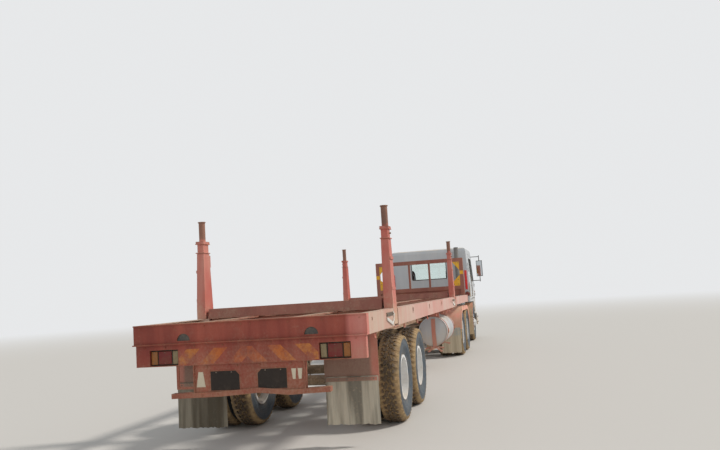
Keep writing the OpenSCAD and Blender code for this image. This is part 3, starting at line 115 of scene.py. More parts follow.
look = Vector((
    math.cos(camera_turn) * math.cos(camera_tilt),
    math.sin(camera_turn) * math.cos(camera_tilt),
    math.sin(camera_tilt),
))
level_right = Vector((math.sin(camera_turn), -math.cos(camera_turn), 0))
level_up = level_right.cross(look)
right = level_right * math.cos(camera_roll) + level_up * math.sin(camera_roll)
up = right.cross(look)

camera_data = bpy.data.cameras.new("camera")
camera_data.lens = 35.0
camera_data.sensor_width = 36.0
camera_data.clip_end = 500
camera = bpy.data.objects.new("camera", camera_data)
camera_axes = Matrix((right, up, -look)).transposed()
camera.matrix_world = Matrix.Translation(camera_place) @ camera_axes.to_4x4()
show(camera)
bpy.context.scene.camera = camera
print("camera at", [round(v, 2) for v in camera_place])

# %% [markdown]
# Shader nodes by hand take many lines, so a few helpers come first. A Value is one output of a node.
# Sums, differences, products and quotients of values add the Math nodes that work them out, so a
# finish reads like a formula. The other helpers name the steps that every finish needs, such as
# noise, a remapped value, or a mix of two colours.

# %% Helpers for shader nodes


class Value:
    """One output of a node, which can be calculated with."""

    def __init__(self, tree, socket):
        self.tree, self.socket = tree, socket

    def __add__(self, other):
        return calc("ADD", self, other)

    def __sub__(self, other):
        return calc("SUBTRACT", self, other)

    def __rsub__(self, other):
        return calc("SUBTRACT", other, self)

    def __mul__(self, other):
        return calc("MULTIPLY", self, other)

    def __truediv__(self, other):
        return calc("DIVIDE", self, other)


def fill(tree, socket, value):
    """Puts a number, a colour or another node's output into a socket."""
    if isinstance(value, Value):
        tree.links.new(value.socket, socket)
    elif isinstance(value, tuple) and len(value) == 3 and socket.type == "RGBA":
        socket.default_value = (*value, 1)
    else:
        socket.default_value = value


def outputs_of(node):
    return [Value(node.id_data, output) for output in node.outputs]


def step(tree, kind, inputs, output=0, **settings):
    """Adds a node, fills its inputs and gives one of its outputs."""
    node = tree.nodes.new(kind)
    for key, value in settings.items():
        setattr(node, key, value)
    for key, value in inputs.items():
        fill(tree, node.inputs[key], value)
    return Value(tree, node.outputs[output])


def tree_of(*values):
    return next(v.tree for v in values if isinstance(v, Value))


def calc(operation, a, b=0.0, clamp=False):
    inputs = {0: a, 1: b}
    return step(tree_of(a, b), "ShaderNodeMath", inputs, operation=operation, use_clamp=clamp)


def remap(value, low, high, to_low=0.0, to_high=1.0):
    inputs = {0: value, 1: low, 2: high, 3: to_low, 4: to_high}
    return step(value.tree, "ShaderNodeMapRange", inputs)


def blend(factor, a, b, way="MIX"):
    inputs = {0: factor, 6: a, 7: b}
    tree = tree_of(factor, a, b)
    return step(tree, "ShaderNodeMix", inputs, 2, data_type="RGBA", blend_type=way)


def object_place(tree):
    return step(tree, "ShaderNodeTexCoord", {}, "Object")


def axes(place):
    """The X, Y and Z of a place or a direction."""
    return outputs_of(step(place.tree, "ShaderNodeSeparateXYZ", {0: place}).socket.node)


def stretched(place, scale):
    return step(place.tree, "ShaderNodeMapping", {"Vector": place, "Scale": scale})


def noise(place, scale, detail=4.0, rough=0.55):
    inputs = {"Vector": place, "Scale": scale, "Detail": detail, "Roughness": rough}
    return step(place.tree, "ShaderNodeTexNoise", inputs)


def make_group(name, inputs, work_out):
    """A node group whose colour, roughness and height work_out finds from its inputs."""
    group = bpy.data.node_groups.new(name, "ShaderNodeTree")
    for key, value in inputs.items():
        is_colour = isinstance(value, tuple)
        kind = "NodeSocketColor" if is_colour else "NodeSocketFloat"
        socket = group.interface.new_socket(name=key, in_out="INPUT", socket_type=kind)
        socket.default_value = (*value, 1) if is_colour else value
    for key in ("Color", "Roughness", "Height"):
        kind = "NodeSocketColor" if key == "Color" else "NodeSocketFloat"
        group.interface.new_socket(name=key, in_out="OUTPUT", socket_type=kind)
    given = group.nodes.new("NodeGroupInput").outputs
    results = work_out(group, {key: Value(group, given[key]) for key in inputs})
    for socket, value in zip(group.nodes.new("NodeGroupOutput").inputs, results):
        fill(group, socket, value)
    print(name, len(group.nodes), "nodes")
    return group


def use_group(tree, group, inputs):
    """Places a group and gives its colour, roughness and height."""
    return outputs_of(step(tree, "ShaderNodeGroup", inputs, node_tree=group).socket.node)


def new_material(name):
    material = bpy.data.materials.new(name)
    material.use_nodes = True
    return material, material.node_tree


print("shader helpers ready")

# %% [markdown]
# Light. Outdoors the sky lights everything softly and the sun adds one clear side. The sun stands to
# the right of the lorry, so the side rails and tyres shine and the rear face lies in shade. A wide sun
# keeps the shadow edges soft, as in a studio. The world is near white, so a colour renders about as it
# is written.

# %% Sun and sky
bpy.context.scene.view_settings.view_transform = "Standard"
backdrop_colour = (0.80, 0.81, 0.82)


def make_sky():
    world = bpy.data.worlds.new("pale sky")
    bpy.context.scene.world = world
    world.use_nodes = True
    tree = world.node_tree
    tree.nodes.clear()
    cast = step(tree, "ShaderNodeBackground", {"Color": (0.93, 0.97, 1.0), "Strength": 0.50})
    seen = step(tree, "ShaderNodeBackground", {"Color": backdrop_colour})
    direct = step(tree, "ShaderNodeLightPath", {}, "Is Camera Ray")
    through = step(tree, "ShaderNodeLightPath", {}, "Is Transmission Ray")
    mix = step(tree, "ShaderNodeMixShader", {0: calc("MAXIMUM", direct, through), 1: cast, 2: seen})
    fill(tree, tree.nodes.new("ShaderNodeOutputWorld").inputs[0], mix)


def add_sun(name, towards, strength, width_deg, colour):
    """A sun whose light travels along towards."""
    data = bpy.data.lights.new(name, "SUN")
    data.energy = strength
    data.angle = math.radians(width_deg)
    data.color = colour
    lamp = bpy.data.objects.new(name, data)
    lamp.rotation_mode = "QUATERNION"
    lamp.rotation_quaternion = Vector(towards).to_track_quat("-Z", "Y")
    show(lamp)


make_sky()
add_sun("key", (-0.30, 0.80, -0.80), 2.25, 8, (1.0, 0.95, 0.88))
add_sun("fill", (0.9, 0.35, -0.30), 0.30, 40, (1.0, 0.98, 0.95))
print("lights ready")

# %% [markdown]
# The floor is a wide pale disc. Near the lorry it is an ordinary matt surface that takes the shadow;
# further out it turns into the backdrop's own colour, by its distance from the middle, so no horizon
# line cuts through the picture.

# %% Floor
floor_radius = 260.0
floor_colour = (0.62, 0.60, 0.57)
fade_start, fade_end = 14, 60


def add_floor():
    bm = bmesh.new()
    bmesh.ops.create_circle(bm, cap_ends=True, segments=96, radius=floor_radius)
    mesh = bpy.data.meshes.new("floor")
    bm.to_mesh(mesh)
    bm.free()
    floor = bpy.data.objects.new("floor", mesh)
    floor.location.z = cad_low.z
    show(floor)
    material, tree = new_material("pale floor")
    matt = tree.nodes["Principled BSDF"]
    fill(tree, matt.inputs["Base Color"], floor_colour)
    fill(tree, matt.inputs["Roughness"], 0.9)
    glow = step(tree, "ShaderNodeEmission", {"Color": backdrop_colour})
    place = object_place(tree)
    length = step(tree, "ShaderNodeVectorMath", {0: place}, "Value", operation="LENGTH")
    inputs = {"Value": length, "From Min": fade_start, "From Max": fade_end}
    far = step(tree, "ShaderNodeMapRange", inputs, interpolation_type="SMOOTHSTEP")
    mix = step(tree, "ShaderNodeMixShader", {0: far, 1: Value(tree, matt.outputs[0]), 2: glow})
    fill(tree, tree.nodes["Material Output"].inputs[0], mix)
    mesh.materials.append(material)


add_floor()
print("floor radius", floor_radius)

# %% [markdown]
# Worn paint is one effect that most of the lorry shares: paint that the sun has bleached in soft
# patches and long vertical streaks, chipped to rust along the edges and in spots. The edges are found
# by comparing the true surface direction with one that is rounded over a small radius. It is built once
# as a node group and placed in each material with its own colours.

# %% Group: worn paint


def worn_paint_steps(group, given):
    place = object_place(group)
    patch = remap(noise(place, 1.3, 3), 0.35, 0.68)
    streak = remap(noise(stretched(place, (9, 9, 0.9)), 1.0, 3), 0.42, 0.72)
    faded = calc("ADD", patch * given["Bleach"], streak * given["Streaks"], clamp=True)
    colour = blend(faded, given["Paint"], given["Bleached"])
    grain = noise(place, 90, 4)
    colour = blend(0.12, colour, blend(grain, (0.1, 0.1, 0.1), (0.9, 0.9, 0.9)), "OVERLAY")
    rounded = step(group, "ShaderNodeBevel", {"Radius": 0.010}, samples=4)
    flat = step(group, "ShaderNodeNewGeometry", {}, "Normal")
    along = step(group, "ShaderNodeVectorMath", {0: rounded, 1: flat}, "Value", operation="DOT_PRODUCT")
    chip = noise(place, 34, 8, 0.7)
    edge_chip = remap(along, 0.99, 0.80) * remap(chip, 0.38, 0.55) * given["Edges"]
    wide = noise(place, 5.5, 8, 0.68)
    spot = remap(wide - remap(given["Spots"], 0.0, 1.0, 0.80, 0.52), 0.0, 0.04)
    bare = calc("MAXIMUM", spot, edge_chip, clamp=True)
    rust = blend(remap(chip, 0.35, 0.7), given["Rust"], (0.36, 0.17, 0.08))
    rough = calc("ADD", given["Gloss"] + faded * 0.25, bare * 0.3, clamp=True)
    height = grain * 0.10 + noise(place, 2.6, 2) * 1.2 - bare * 0.35
    return blend(bare, colour, rust), rough, height


worn_paint = make_group("worn paint", {
    "Paint": (0.7, 0.2, 0.15), "Bleached": (0.8, 0.5, 0.45), "Rust": (0.20, 0.085, 0.04),
    "Bleach": 0.5, "Streaks": 0.5, "Spots": 0.3, "Edges": 0.6, "Gloss": 0.45,
}, worn_paint_steps)

# %% [markdown]
# Road dust comes from below and settles from above. The mud is thick near the ground and thins out
# upwards, and pale dust lies on every face that looks up. The group takes any colour and roughness and
# lays the dust over them by height, by the face's own direction, and by noise that breaks the edge
# into splashes.

# %% Group: road dust


def road_dust_steps(group, given):
    place = object_place(group)
    upward = axes(step(group, "ShaderNodeTexCoord", {}, "Normal"))[2]
    coarse = noise(place, 3.2, 5, 0.6)
    fine = noise(place, 38, 6, 0.65)
    low = remap(axes(place)[2], given["Low"], given["High"], 1.0, 0.0)
    splash = low + (coarse - 0.55) + (fine - 0.5) * 0.8
    splash = remap(splash, 0.25, 0.85) * given["Splash"]
    settled = remap(upward, 0.35, 0.95) * remap(coarse, 0.32, 0.62) * given["Settled"]
    film = remap(coarse, 0.3, 0.7, 0.5, 1.3) * given["Film"]
    cover = calc("ADD", calc("MAXIMUM", splash, settled), film, clamp=True)
    dust = blend(remap(fine, 0.3, 0.7, 0.0, 0.45), given["Dust"], (0.70, 0.60, 0.46))
    rough = calc("ADD", given["Roughness"], (0.92 - given["Roughness"]) * cover, clamp=True)
    return blend(cover, given["Color"], dust), rough, cover * fine


road_dust = make_group("road dust", {
    "Color": (0.5, 0.5, 0.5), "Roughness": 0.5, "Dust": (0.52, 0.37, 0.22),
    "Low": 0.2, "High": 1.2, "Splash": 0.8, "Settled": 0.5, "Film": 0.1,
}, road_dust_steps)

# %% [markdown]
# A painted finish is then a short recipe: paint, wear and dust one after the other, into one Principled
# shader. The bump adds the relief of both groups. A paint is written as two colours, fresh and
# bleached, with five amounts of wear, and the dust's colour with five amounts of dust.

# %% Recipe: painted metal
wear_names = ("Bleach", "Streaks", "Spots", "Edges", "Gloss")
dust_names = ("Low", "High", "Splash", "Settled", "Film")


def finish_surface(colour, rough, height, metallic=0.0, distance=0.004):
    """Fills the Principled shader of the material that the colour belongs to."""
    tree = colour.tree
    bump = step(tree, "ShaderNodeBump", {"Height": height, "Distance": distance, "Strength": 0.7})
    inputs = {"Base Color": colour, "Roughness": rough, "Metallic": metallic, "Normal": bump}
    for key, value in inputs.items():
        fill(tree, tree.nodes["Principled BSDF"].inputs[key], value)


def painted(name, paint, bleached, wear, dust, amounts, colour_of=None):
    """Painted metal. wear goes by wear_names, amounts by dust_names; colour_of may change the paint."""
    material, tree = new_material(name)
    if colour_of:
        paint, bleached = colour_of(tree, paint, bleached)
    inputs = {"Paint": paint, "Bleached": bleached, **dict(zip(wear_names, wear))}
    colour, rough, relief = use_group(tree, worn_paint, inputs)
    inputs = {"Color": colour, "Roughness": rough, "Dust": dust, **dict(zip(dust_names, amounts))}
    colour, rough, mud = use_group(tree, road_dust, inputs)
    finish_surface(colour, rough, relief + mud * 0.6)
    return material


print("recipe ready")

# %% [markdown]
# The trailer's colours. Its frame was painted one coral red; the sun bleached the side rails to a chalky
# pink under tan dust, and the stakes kept more of the colour. The rear is painted a deep red, darker than
# its coral paint: painted shade. So each is the same recipe with other amounts, not one paint for all.

# %% Paints of the trailer and the tractor's rear
deck_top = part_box("trailer_frame")[1].z
rail_bottom = deck_top - 0.210
rust_start, rust_full = 2.36, 2.42


def rail_colours(tree, paint, bleached):
    """Tan at the rear, pinker ahead. Below the rails it is still coral, and the flaps' hangers are darker on
    their inner part: soot and painted shade.
    """
    place = object_place(tree)
    x, y, z = axes(place)
    ragged = (noise(place, 2.0, 5, 0.6) - 0.5) * 3.0
    ahead = remap(x + ragged, at(1.9), at(3.6), 0.0, 0.85)
    below = calc("LESS_THAN", z, rail_bottom - 0.002)
    inner = remap(calc("ABSOLUTE", y), 1.11, 1.07, 0.0, 0.85)
    # The inner part of the flaps' hangers is darkened: partly soot, partly painted shade
    soot_and_painted_shade = below * inner * calc("LESS_THAN", x, at(2.0))
    result = []
    for colour, pink, coral in (
        (paint, (0.62, 0.23, 0.20), (0.50, 0.070, 0.046)),
        (bleached, (0.66, 0.42, 0.38), (0.58, 0.17, 0.12)),
    ):
        colour = blend(below, blend(ahead, colour, pink), coral)
        result.append(blend(soot_and_painted_shade, colour, (0.085, 0.026, 0.018)))
    return result


def rusty_top(tree, paint, bleached):
    """Above the collars the paint is gone, and the posts are brown with rust."""
    place = object_place(tree)
    ragged = (noise(place, 14, 5, 0.6) - 0.5) * 0.25
    bare = remap(axes(place)[2] + ragged, rust_start, rust_full, 0.0, 0.9)
    return blend(bare, paint, (0.13, 0.065, 0.040)), blend(bare, bleached, (0.30, 0.13, 0.08))


rail_paint = painted(
    "rail paint", (0.57, 0.27, 0.21), (0.57, 0.42, 0.34), (0.9, 0.6, 0.28, 0.9, 0.5),
    (0.46, 0.36, 0.27), (0.7, 1.9, 0.18, 0.6, 0.18), rail_colours)
frame_paint = painted(
    "frame paint", (0.26, 0.055, 0.04), (0.42, 0.15, 0.11), (0.6, 0.5, 0.50, 0.8, 0.5),
    (0.36, 0.25, 0.16), (0.8, 1.7, 0.75, 0.7, 0.2))
stake_paint = painted(
    "stake paint", (0.54, 0.078, 0.058), (0.62, 0.25, 0.20), (0.75, 0.55, 0.34, 1.0, 0.42),
    (0.52, 0.36, 0.24), (1.2, 1.75, 0.80, 0.6, 0.10), rusty_top)
fender_paint = painted(
    "fender paint", (0.80, 0.20, 0.135), (0.82, 0.42, 0.33), (0.8, 0.5, 0.18, 0.8, 0.42),
    (0.56, 0.40, 0.25), (0.5, 1.5, 0.55, 0.75, 0.14))
guard_paint = painted(
    "mudguard paint", (0.80, 0.20, 0.135), (0.78, 0.42, 0.30), (0.8, 0.5, 0.22, 0.8, 0.5),
    (0.52, 0.37, 0.20), (0.85, 1.20, 0.95, 0.75, 0.20))
print("paints of the trailer ready")

# %% [markdown]
# The rear beam carries slanted warning stripes between its lamps, rising from both sides towards the
# middle. A stripe is a saw-tooth of one number: how far a point lies to the side, plus its height. The
# lines follow the beam's own coordinates, so no picture is needed.

# %% Paint of the rear beam, with its stripes
lamp_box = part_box("tail_lamps")
stripe_low = lamp_box[0].z - 0.005
stripe_high = lamp_box[1].z + 0.008
stripe_reach = 0.745
stripe_pitch = 0.30


def striped(tree, paint, bleached):
    """Worn amber stripes over both colours of the paint."""
    place = object_place(tree)
    _, y, z = axes(place)
    side = calc("ABSOLUTE", y)
    stripe = calc("GREATER_THAN", calc("FRACT", (side + z) / stripe_pitch), 0.5)
    stripe *= calc("GREATER_THAN", z, stripe_low)
    stripe *= calc("LESS_THAN", z, stripe_high)
    stripe *= calc("LESS_THAN", side, stripe_reach)
    stripe *= remap(noise(place, 7, 6, 0.7), 0.38, 0.58, 0.95, 0.10)
    amber = blend(remap(side, 0.1, 0.7), (0.48, 0.085, 0.012), (0.62, 0.21, 0.022))
    # The right end is painted paler, towards the rails' coral: painted sunlight
    painted_sunlit_end = remap(y, -1.03, -1.08, 0.0, 0.85)
    pairs = (paint, (0.60, 0.15, 0.12)), (bleached, (0.68, 0.29, 0.25))
    return [blend(stripe, blend(painted_sunlit_end, colour, coral), amber) for colour, coral in pairs]


# The rear's deep red is darker than its real coral paint: painted shade on the rear face
rear_paint_with_painted_light = painted(
    "rear beam paint with painted light", (0.21, 0.018, 0.011), (0.40, 0.080, 0.052), (0.60, 0.5, 0.40, 0.9, 0.52),
    (0.34, 0.19, 0.09), (0.5, 1.5, 0.35, 0.6, 0.08), striped)
print("stripes between", round(stripe_low, 3), round(stripe_high, 3))

# %% [markdown]
# Plainer finishes: muddy chassis iron, greasy bare steel, galvanised sheet, cab paint, black plastic.
# Iron and cast metal still use the worn paint group, because bare metal also has patches, spots and
# bright or rusty edges; only its colours differ.

# %% Metals, cab paint, plastic
chassis_iron = painted(
    "chassis iron", (0.055, 0.045, 0.04), (0.14, 0.10, 0.08), (0.7, 0.3, 0.55, 0.7, 0.55),
    (0.42, 0.28, 0.16), (0.2, 1.35, 0.85, 0.85, 0.16))
cast_metal = painted(
    "cast metal", (0.16, 0.17, 0.18), (0.26, 0.25, 0.24), (0.6, 0.4, 0.35, 0.4, 0.5),
    (0.38, 0.27, 0.17), (0.4, 1.4, 0.6, 0.7, 0.15))
galvanised = painted(
    "galvanised sheet", (0.36, 0.40, 0.45), (0.54, 0.56, 0.58), (0.8, 0.6, 0.22, 0.6, 0.38),
    (0.54, 0.42, 0.30), (0.35, 1.2, 0.5, 0.6, 0.10))
cab_paint = painted(
    "cab paint", (0.52, 0.56, 0.60), (0.64, 0.66, 0.68), (0.5, 0.35, 0.06, 0.35, 0.28),
    (0.60, 0.47, 0.33), (0.7, 1.9, 0.45, 0.55, 0.07))
bumper_paint = painted(
    "bumper paint", (0.70, 0.71, 0.70), (0.78, 0.77, 0.74), (0.5, 0.3, 0.10, 0.5, 0.35),
    (0.58, 0.43, 0.28), (0.35, 0.95, 0.7, 0.6, 0.1))
rim_paint = painted(
    "rim paint", (0.72, 0.74, 0.76), (0.82, 0.82, 0.81), (0.6, 0.2, 0.20, 0.6, 0.45),
    (0.56, 0.44, 0.30), (0.10, 0.80, 0.40, 0.5, 0.10))
nut_steel = painted(
    "nut steel", (0.10, 0.085, 0.075), (0.28, 0.24, 0.21), (0.6, 0.2, 0.5, 0.3, 0.45),
    (0.46, 0.32, 0.19), (0.1, 0.9, 0.6, 0.5, 0.2))
black_plastic = painted(
    "black plastic", (0.025, 0.025, 0.026), (0.08, 0.08, 0.08), (0.6, 0.3, 0.0, 0.0, 0.5),
    (0.50, 0.38, 0.26), (0.6, 1.6, 0.3, 0.4, 0.06))
dark_trim = painted(
    "dark trim", (0.045, 0.045, 0.05), (0.10, 0.10, 0.105), (0.5, 0.1, 0.0, 0.0, 0.6),
    (0.45, 0.36, 0.27), (0.8, 1.4, 0.2, 0.35, 0.04))


def bare_steel_material():
    material, tree = new_material("greasy steel")
    place = object_place(tree)
    patch = noise(place, 11, 5)
    colour = blend(remap(patch, 0.35, 0.65), (0.09, 0.08, 0.075), (0.30, 0.28, 0.26))
    rough = remap(patch, 0.3, 0.7, 0.28, 0.6)
    finish_surface(colour, rough, noise(place, 60, 4), metallic=0.85, distance=0.001)
    return material


greasy_steel = bare_steel_material()
print("metals ready")

# %% [markdown]
# Rubber. A tyre has two faces: the walls, which the sky tints a dusty blue-grey, and the tread, which
# digs ochre mud up and holds it between its lugs. The mud is laid by the distance from the axle, with
# the tread's own pattern left dark on top where rolling wipes it. The flaps are softer, pale with
# dried splashes in long runs.

# %% Rubber finishes
tyre_low, tyre_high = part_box("tyres_trailer_rear_left")
axle_height = (tyre_low.z + tyre_high.z) / 2
tyre_radius = axle_height
tread_depth = 0.017
# Ripples of the wall by the distance from the axle: dark bands, and fine rings in the relief
band_rate, ring_rate = 240.0, 900.0


def tyre_material(name, wheel_x):
    """Rubber of the tyres on the axle at wheel_x."""
    material, tree = new_material(name)
    place = object_place(tree)
    x, _, z = axes(place)
    forward, upward = x - wheel_x, z - axle_height
    radius = calc("SQRT", forward * forward + upward * upward)
    coarse = noise(place, 9, 6, 0.65)
    fine = noise(place, 75, 5, 0.6)
    speckle = noise(place, 30, 6, 0.65)
    # The wall: blue-grey, a painted reflection of the sky, with dark moulded rings, and dust towards the
    # bead
    wall = blend(remap(speckle, 0.30, 0.70), (0.052, 0.066, 0.083), (0.092, 0.127, 0.162))
    bands = calc("SINE", radius * band_rate) + 1.0
    wall = blend(bands * 0.14, wall, (0.020, 0.024, 0.028))
    wall_dust = (remap(radius, 0.345, 0.265, 0.0, 0.45) + 0.14) * remap(coarse, 0.40, 0.65)
    wall = blend(wall_dust, wall, (0.38, 0.30, 0.21))
    # The tread: worn dark on top, with mud in the grooves
    mud = blend(remap(fine, 0.3, 0.7), (0.20, 0.120, 0.058), (0.42, 0.28, 0.15))
    in_groove = remap(radius, tyre_radius - 0.2 * tread_depth, tyre_radius - 0.9 * tread_depth)
    on_tread = remap(radius, tyre_radius - 0.075, tyre_radius - 0.035)
    worn_top = blend(fine, (0.022, 0.018, 0.014), (0.110, 0.078, 0.050))
    wall = blend(on_tread, wall, worn_top)
    patchy = remap(noise(place, 5, 4), 0.38, 0.58, 0.25, 1.0)
    muddy = calc("MULTIPLY", (in_groove * 0.75 + fine * 0.45) * on_tread, patchy, clamp=True)
    colour = blend(muddy, wall, mud)
    # Dry ochre clay stays on the shoulder lugs, where they turn down the wall
    clay = remap(radius, tyre_radius - 0.070, tyre_radius - 0.052)
    clay *= remap(radius, tyre_radius - 0.006, tyre_radius - 0.022)
    clay *= remap(coarse, 0.36, 0.56, 0.08, 0.72)
    colour = blend(clay, colour, (0.47, 0.33, 0.165))
    rings = calc("SINE", radius * ring_rate) * (1.0 - on_tread)
    finish_surface(colour, muddy * 0.22 + 0.72, rings * 0.25 + fine, distance=0.003)
    return material


def flap_material(name, light, dark, patch):
    """Sheet rubber with dried splashes in long runs; patch is the strength of a pale blue-grey area near the
    upper outer corner.
    """
    material, tree = new_material(name)
    place = object_place(tree)
    _, y, z = axes(place)
    runs = noise(stretched(place, (1, 22, 1.6)), 1.0, 5, 0.6)
    broad = noise(stretched(place, (1, 5.5, 0.3)), 1.0, 2)
    spots = noise(place, 42, 6, 0.6)
    shade = remap(runs, 0.30, 0.58, 0.30, 1.0) * remap(broad, 0.38, 0.50, 0.22, 1.0)
    colour = blend(shade, dark, light)
    colour = blend(remap(spots, 0.55, 0.75, 0.0, 0.6), colour, (0.50, 0.40, 0.27))
    blue_grey_area = remap(z, 0.47, 0.53) * patch * remap(spots, 0.35, 0.60, 1.0, 0.3)
    colour = blend(blue_grey_area, colour, (0.33, 0.39, 0.41))
    # The left one of a pair is darker: painted shade
    left_flap_painted_shade = calc("GREATER_THAN", y, 0.0) * remap(broad, 0.3, 0.6, 0.75, 0.45)
    colour = blend(left_flap_painted_shade, colour, (0.060, 0.045, 0.022))
    finish_surface(colour, 0.85, runs + spots * 0.2)
    return material


trailer_flap_rubber = flap_material(
    "trailer flap rubber", (0.54, 0.49, 0.39), (0.125, 0.110, 0.085), 0.0)
tractor_flap_rubber = flap_material(
    "tractor flap rubber", (0.60, 0.52, 0.38), (0.40, 0.33, 0.23), 0.8)
print("axle height", round(axle_height, 4))

# %% [markdown]
# Glass, lenses and cloth. Window glass is thin and nearly clear with a green edge tint; a lamp's lens is
# coloured plastic with fine ribs and some grime; the seats are woven cloth.

# %% Glass, lenses, cloth
rib_rate = 520.0
weave_scale = 190.0


def plain_material(name, **inputs):
    """A Principled shader with nothing but numbers; an underscore stands for a space."""
    material, tree = new_material(name)
    for key, value in inputs.items():
        fill(tree, tree.nodes["Principled BSDF"].inputs[key.replace("_", " ")], value)
    return material


def lens_material(name, colour, light):
    material, tree = new_material(name)
    place = object_place(tree)
    _, y, z = axes(place)
    prism = calc("SINE", y * rib_rate) * calc("SINE", z * rib_rate)
    grime = remap(noise(place, 16, 5, 0.6), 0.42, 0.68, 0.0, 0.45)
    tint = blend(remap(prism, -1.0, 1.0), colour, light)
    dusty = blend(grime, tint, (0.20, 0.12, 0.07))
    finish_surface(dusty, grime + 0.28, prism, distance=0.0012)
    return material


def cloth_material(name, colour, light):
    material, tree = new_material(name)
    place = object_place(tree)
    inputs = {"Vector": place, "Scale": weave_scale}
    warp, weft = (step(tree, "ShaderNodeTexWave", inputs, 1, bands_direction=way) for way in "YX")
    weave = warp * weft
    tint = blend(weave * noise(place, 6, 4), colour, light)
    finish_surface(tint, 0.9, weave, distance=0.0008)
    return material


glass_body = {"IOR": 1.45, "Transmission_Weight": 1.0}
window_glass = plain_material(
    "window glass", Base_Color=(0.86, 0.93, 0.91), Roughness=0.03, **glass_body)
lamp_glass = plain_material(
    "lamp glass", Base_Color=(0.95, 0.96, 0.96), Roughness=0.05, **glass_body)
silvered = plain_material(
    "silvered glass", Base_Color=(0.86, 0.88, 0.89), Metallic=1.0, Roughness=0.03)
red_lens = lens_material("red lens", (0.10, 0.004, 0.004), (0.26, 0.016, 0.012))
amber_lens = lens_material("amber lens", (0.22, 0.065, 0.010), (0.44, 0.17, 0.03))
cream_lens = lens_material("cream lens", (0.20, 0.15, 0.07), (0.36, 0.29, 0.16))
seat_cloth = cloth_material("seat cloth", (0.05, 0.05, 0.055), (0.17, 0.15, 0.14))
print("glass and lenses ready")

# %% [markdown]
# The CAD pieces whose shape is already right only need their finish. A table of material and nodes says
# it in one place.

# %% Finishes of the construction's own pieces
finishes = (
    (frame_paint, ("trailer_frame", "bolsters", "headboard", "tractor_frame")),
    (rail_paint, ("side_rails", "tank_cradle")),
    (rear_paint_with_painted_light, ("rear_beam",)),
    (stake_paint, ("stake_rear_left", "stake_rear_right", "stake_front_left", "stake_front_right")),
    (chassis_iron, ("trailer_bogie", "landing_gear", "drive_bogie", "front_axle",
                    "knuckle_left", "knuckle_right")),
    (galvanised, ("water_tank", "fuel_tank")),
    (greasy_steel, ("fifth_wheel", "tie_rod")),
    (cast_metal, ("engine", "exhaust")),
    (fender_paint, ("rear_fenders",)),
    (guard_paint, ("front_mudguards",)),
    (bumper_paint, ("bumper",)),
    (cab_paint, ("cab_shell", "door_left", "door_right")),
    (black_plastic, ("grille", "mirrors")),
    (window_glass, ("cab_glass", "door_glass_left", "door_glass_right")),
    (dark_trim, ("cab_interior",)),
    (seat_cloth, ("seats",)),
    (lamp_glass, ("headlamps",)),
    (red_lens, ("tail_lamps",)),
    (trailer_flap_rubber, ("trailer_mud_flaps",)),
    (tractor_flap_rubber, ("tractor_mud_flaps",)),
    (rim_paint, [name for name in nodes if name.startswith("rim")]),
)
for material, names in finishes:
    for name in names:
        nodes[name].data.materials.clear()
        nodes[name].data.materials.append(material)
print(sum(len(names) for _, names in finishes), "nodes finished")

# %% [markdown]
# New pieces are made with bmesh. These helpers start a shape from one operator each and put it in its
# place: a block with rounded edges, a round bar between two points, and the last step that turns a
# bmesh into a named piece that rides on a body.

# %% Helpers for new pieces


def faces_of(made):
    return list({f for v in made for f in v.link_faces})


def edges_of(made):
    return list({e for v in made for e in v.link_edges})


def set_material(made, index):
    for face in faces_of(made):
        face.material_index = index
    return made


def round_edges(bm, made, size, segments=1):
    """Bevels all edges of what was made and gives its new corners."""
    rounded = bmesh.ops.bevel(
        bm, geom=edges_of(made), offset=size, affect="EDGES", segments=segments, profile=0.5,
        material=-1)
    return list(set(rounded["verts"]))


def add_block(bm, low, high, edge=0.0, turn=None, segments=1, material=0):
    """A block from its low to its high corner, edges rounded by edge, turned about its middle."""
    low, high = Vector(low), Vector(high)
    made = bmesh.ops.create_cube(bm, size=1.0)["verts"]
    bmesh.ops.scale(bm, vec=high - low, verts=made)
    if edge:
        made = round_edges(bm, made, edge, segments)
    if turn is not None:
        bmesh.ops.transform(bm, matrix=turn.to_4x4(), verts=made)
    bmesh.ops.translate(bm, vec=(low + high) / 2, verts=made)
    return set_material(made, material)


def add_bar(bm, start, end, radius, segments=12, radius_end=None, material=0):
    """A round bar between two points, or a cone where radius_end is given."""
    start, end = Vector(start), Vector(end)
    along = end - start
    turn = along.to_track_quat("Z", "Y").to_matrix().to_4x4()
    made = bmesh.ops.create_cone(
        bm, cap_ends=True, segments=segments, radius1=radius,
        radius2=radius if radius_end is None else radius_end, depth=along.length,
        matrix=Matrix.Translation((start + end) / 2) @ turn,
    )["verts"]
    return set_material(made, material)


def make_piece(name, bm, materials, body, replaces=(), smooth_deg=32):
    """Turns a bmesh into a piece: normals outwards, smooth where it curves, riding on its body."""
    bmesh.ops.recalc_face_normals(bm, faces=bm.faces)
    mesh = bpy.data.meshes.new(name)
    bm.to_mesh(mesh)
    bm.free()
    for material in materials:
        mesh.materials.append(material)
    mesh.polygons.foreach_set("use_smooth", [True] * len(mesh.polygons))
    mesh.set_sharp_from_angle(angle=math.radians(smooth_deg))
    piece = bpy.data.objects.new(name, mesh)
    show(piece)
    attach(piece, body)
    if replaces:
        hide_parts(*replaces)
    return piece


print("helpers ready")

# %% [markdown]
# A tyre is a body of revolution with a tread cut into it. Its section is a short line of points from
# bead to bead, spun once round the axle. The lugs are small blocks laid in rows and copied round by the
# same spin operator: heavy slanted lugs on both shoulders that wrap down the wall, and two broken ribs
# in the middle. Cutting grooves with booleans would give the same picture for far more faces.

# %% Tyres
tyre_width = 0.280
bead_radius = 0.2543
lug_count = 44
rib_count = 36
shoulder_at = 0.098


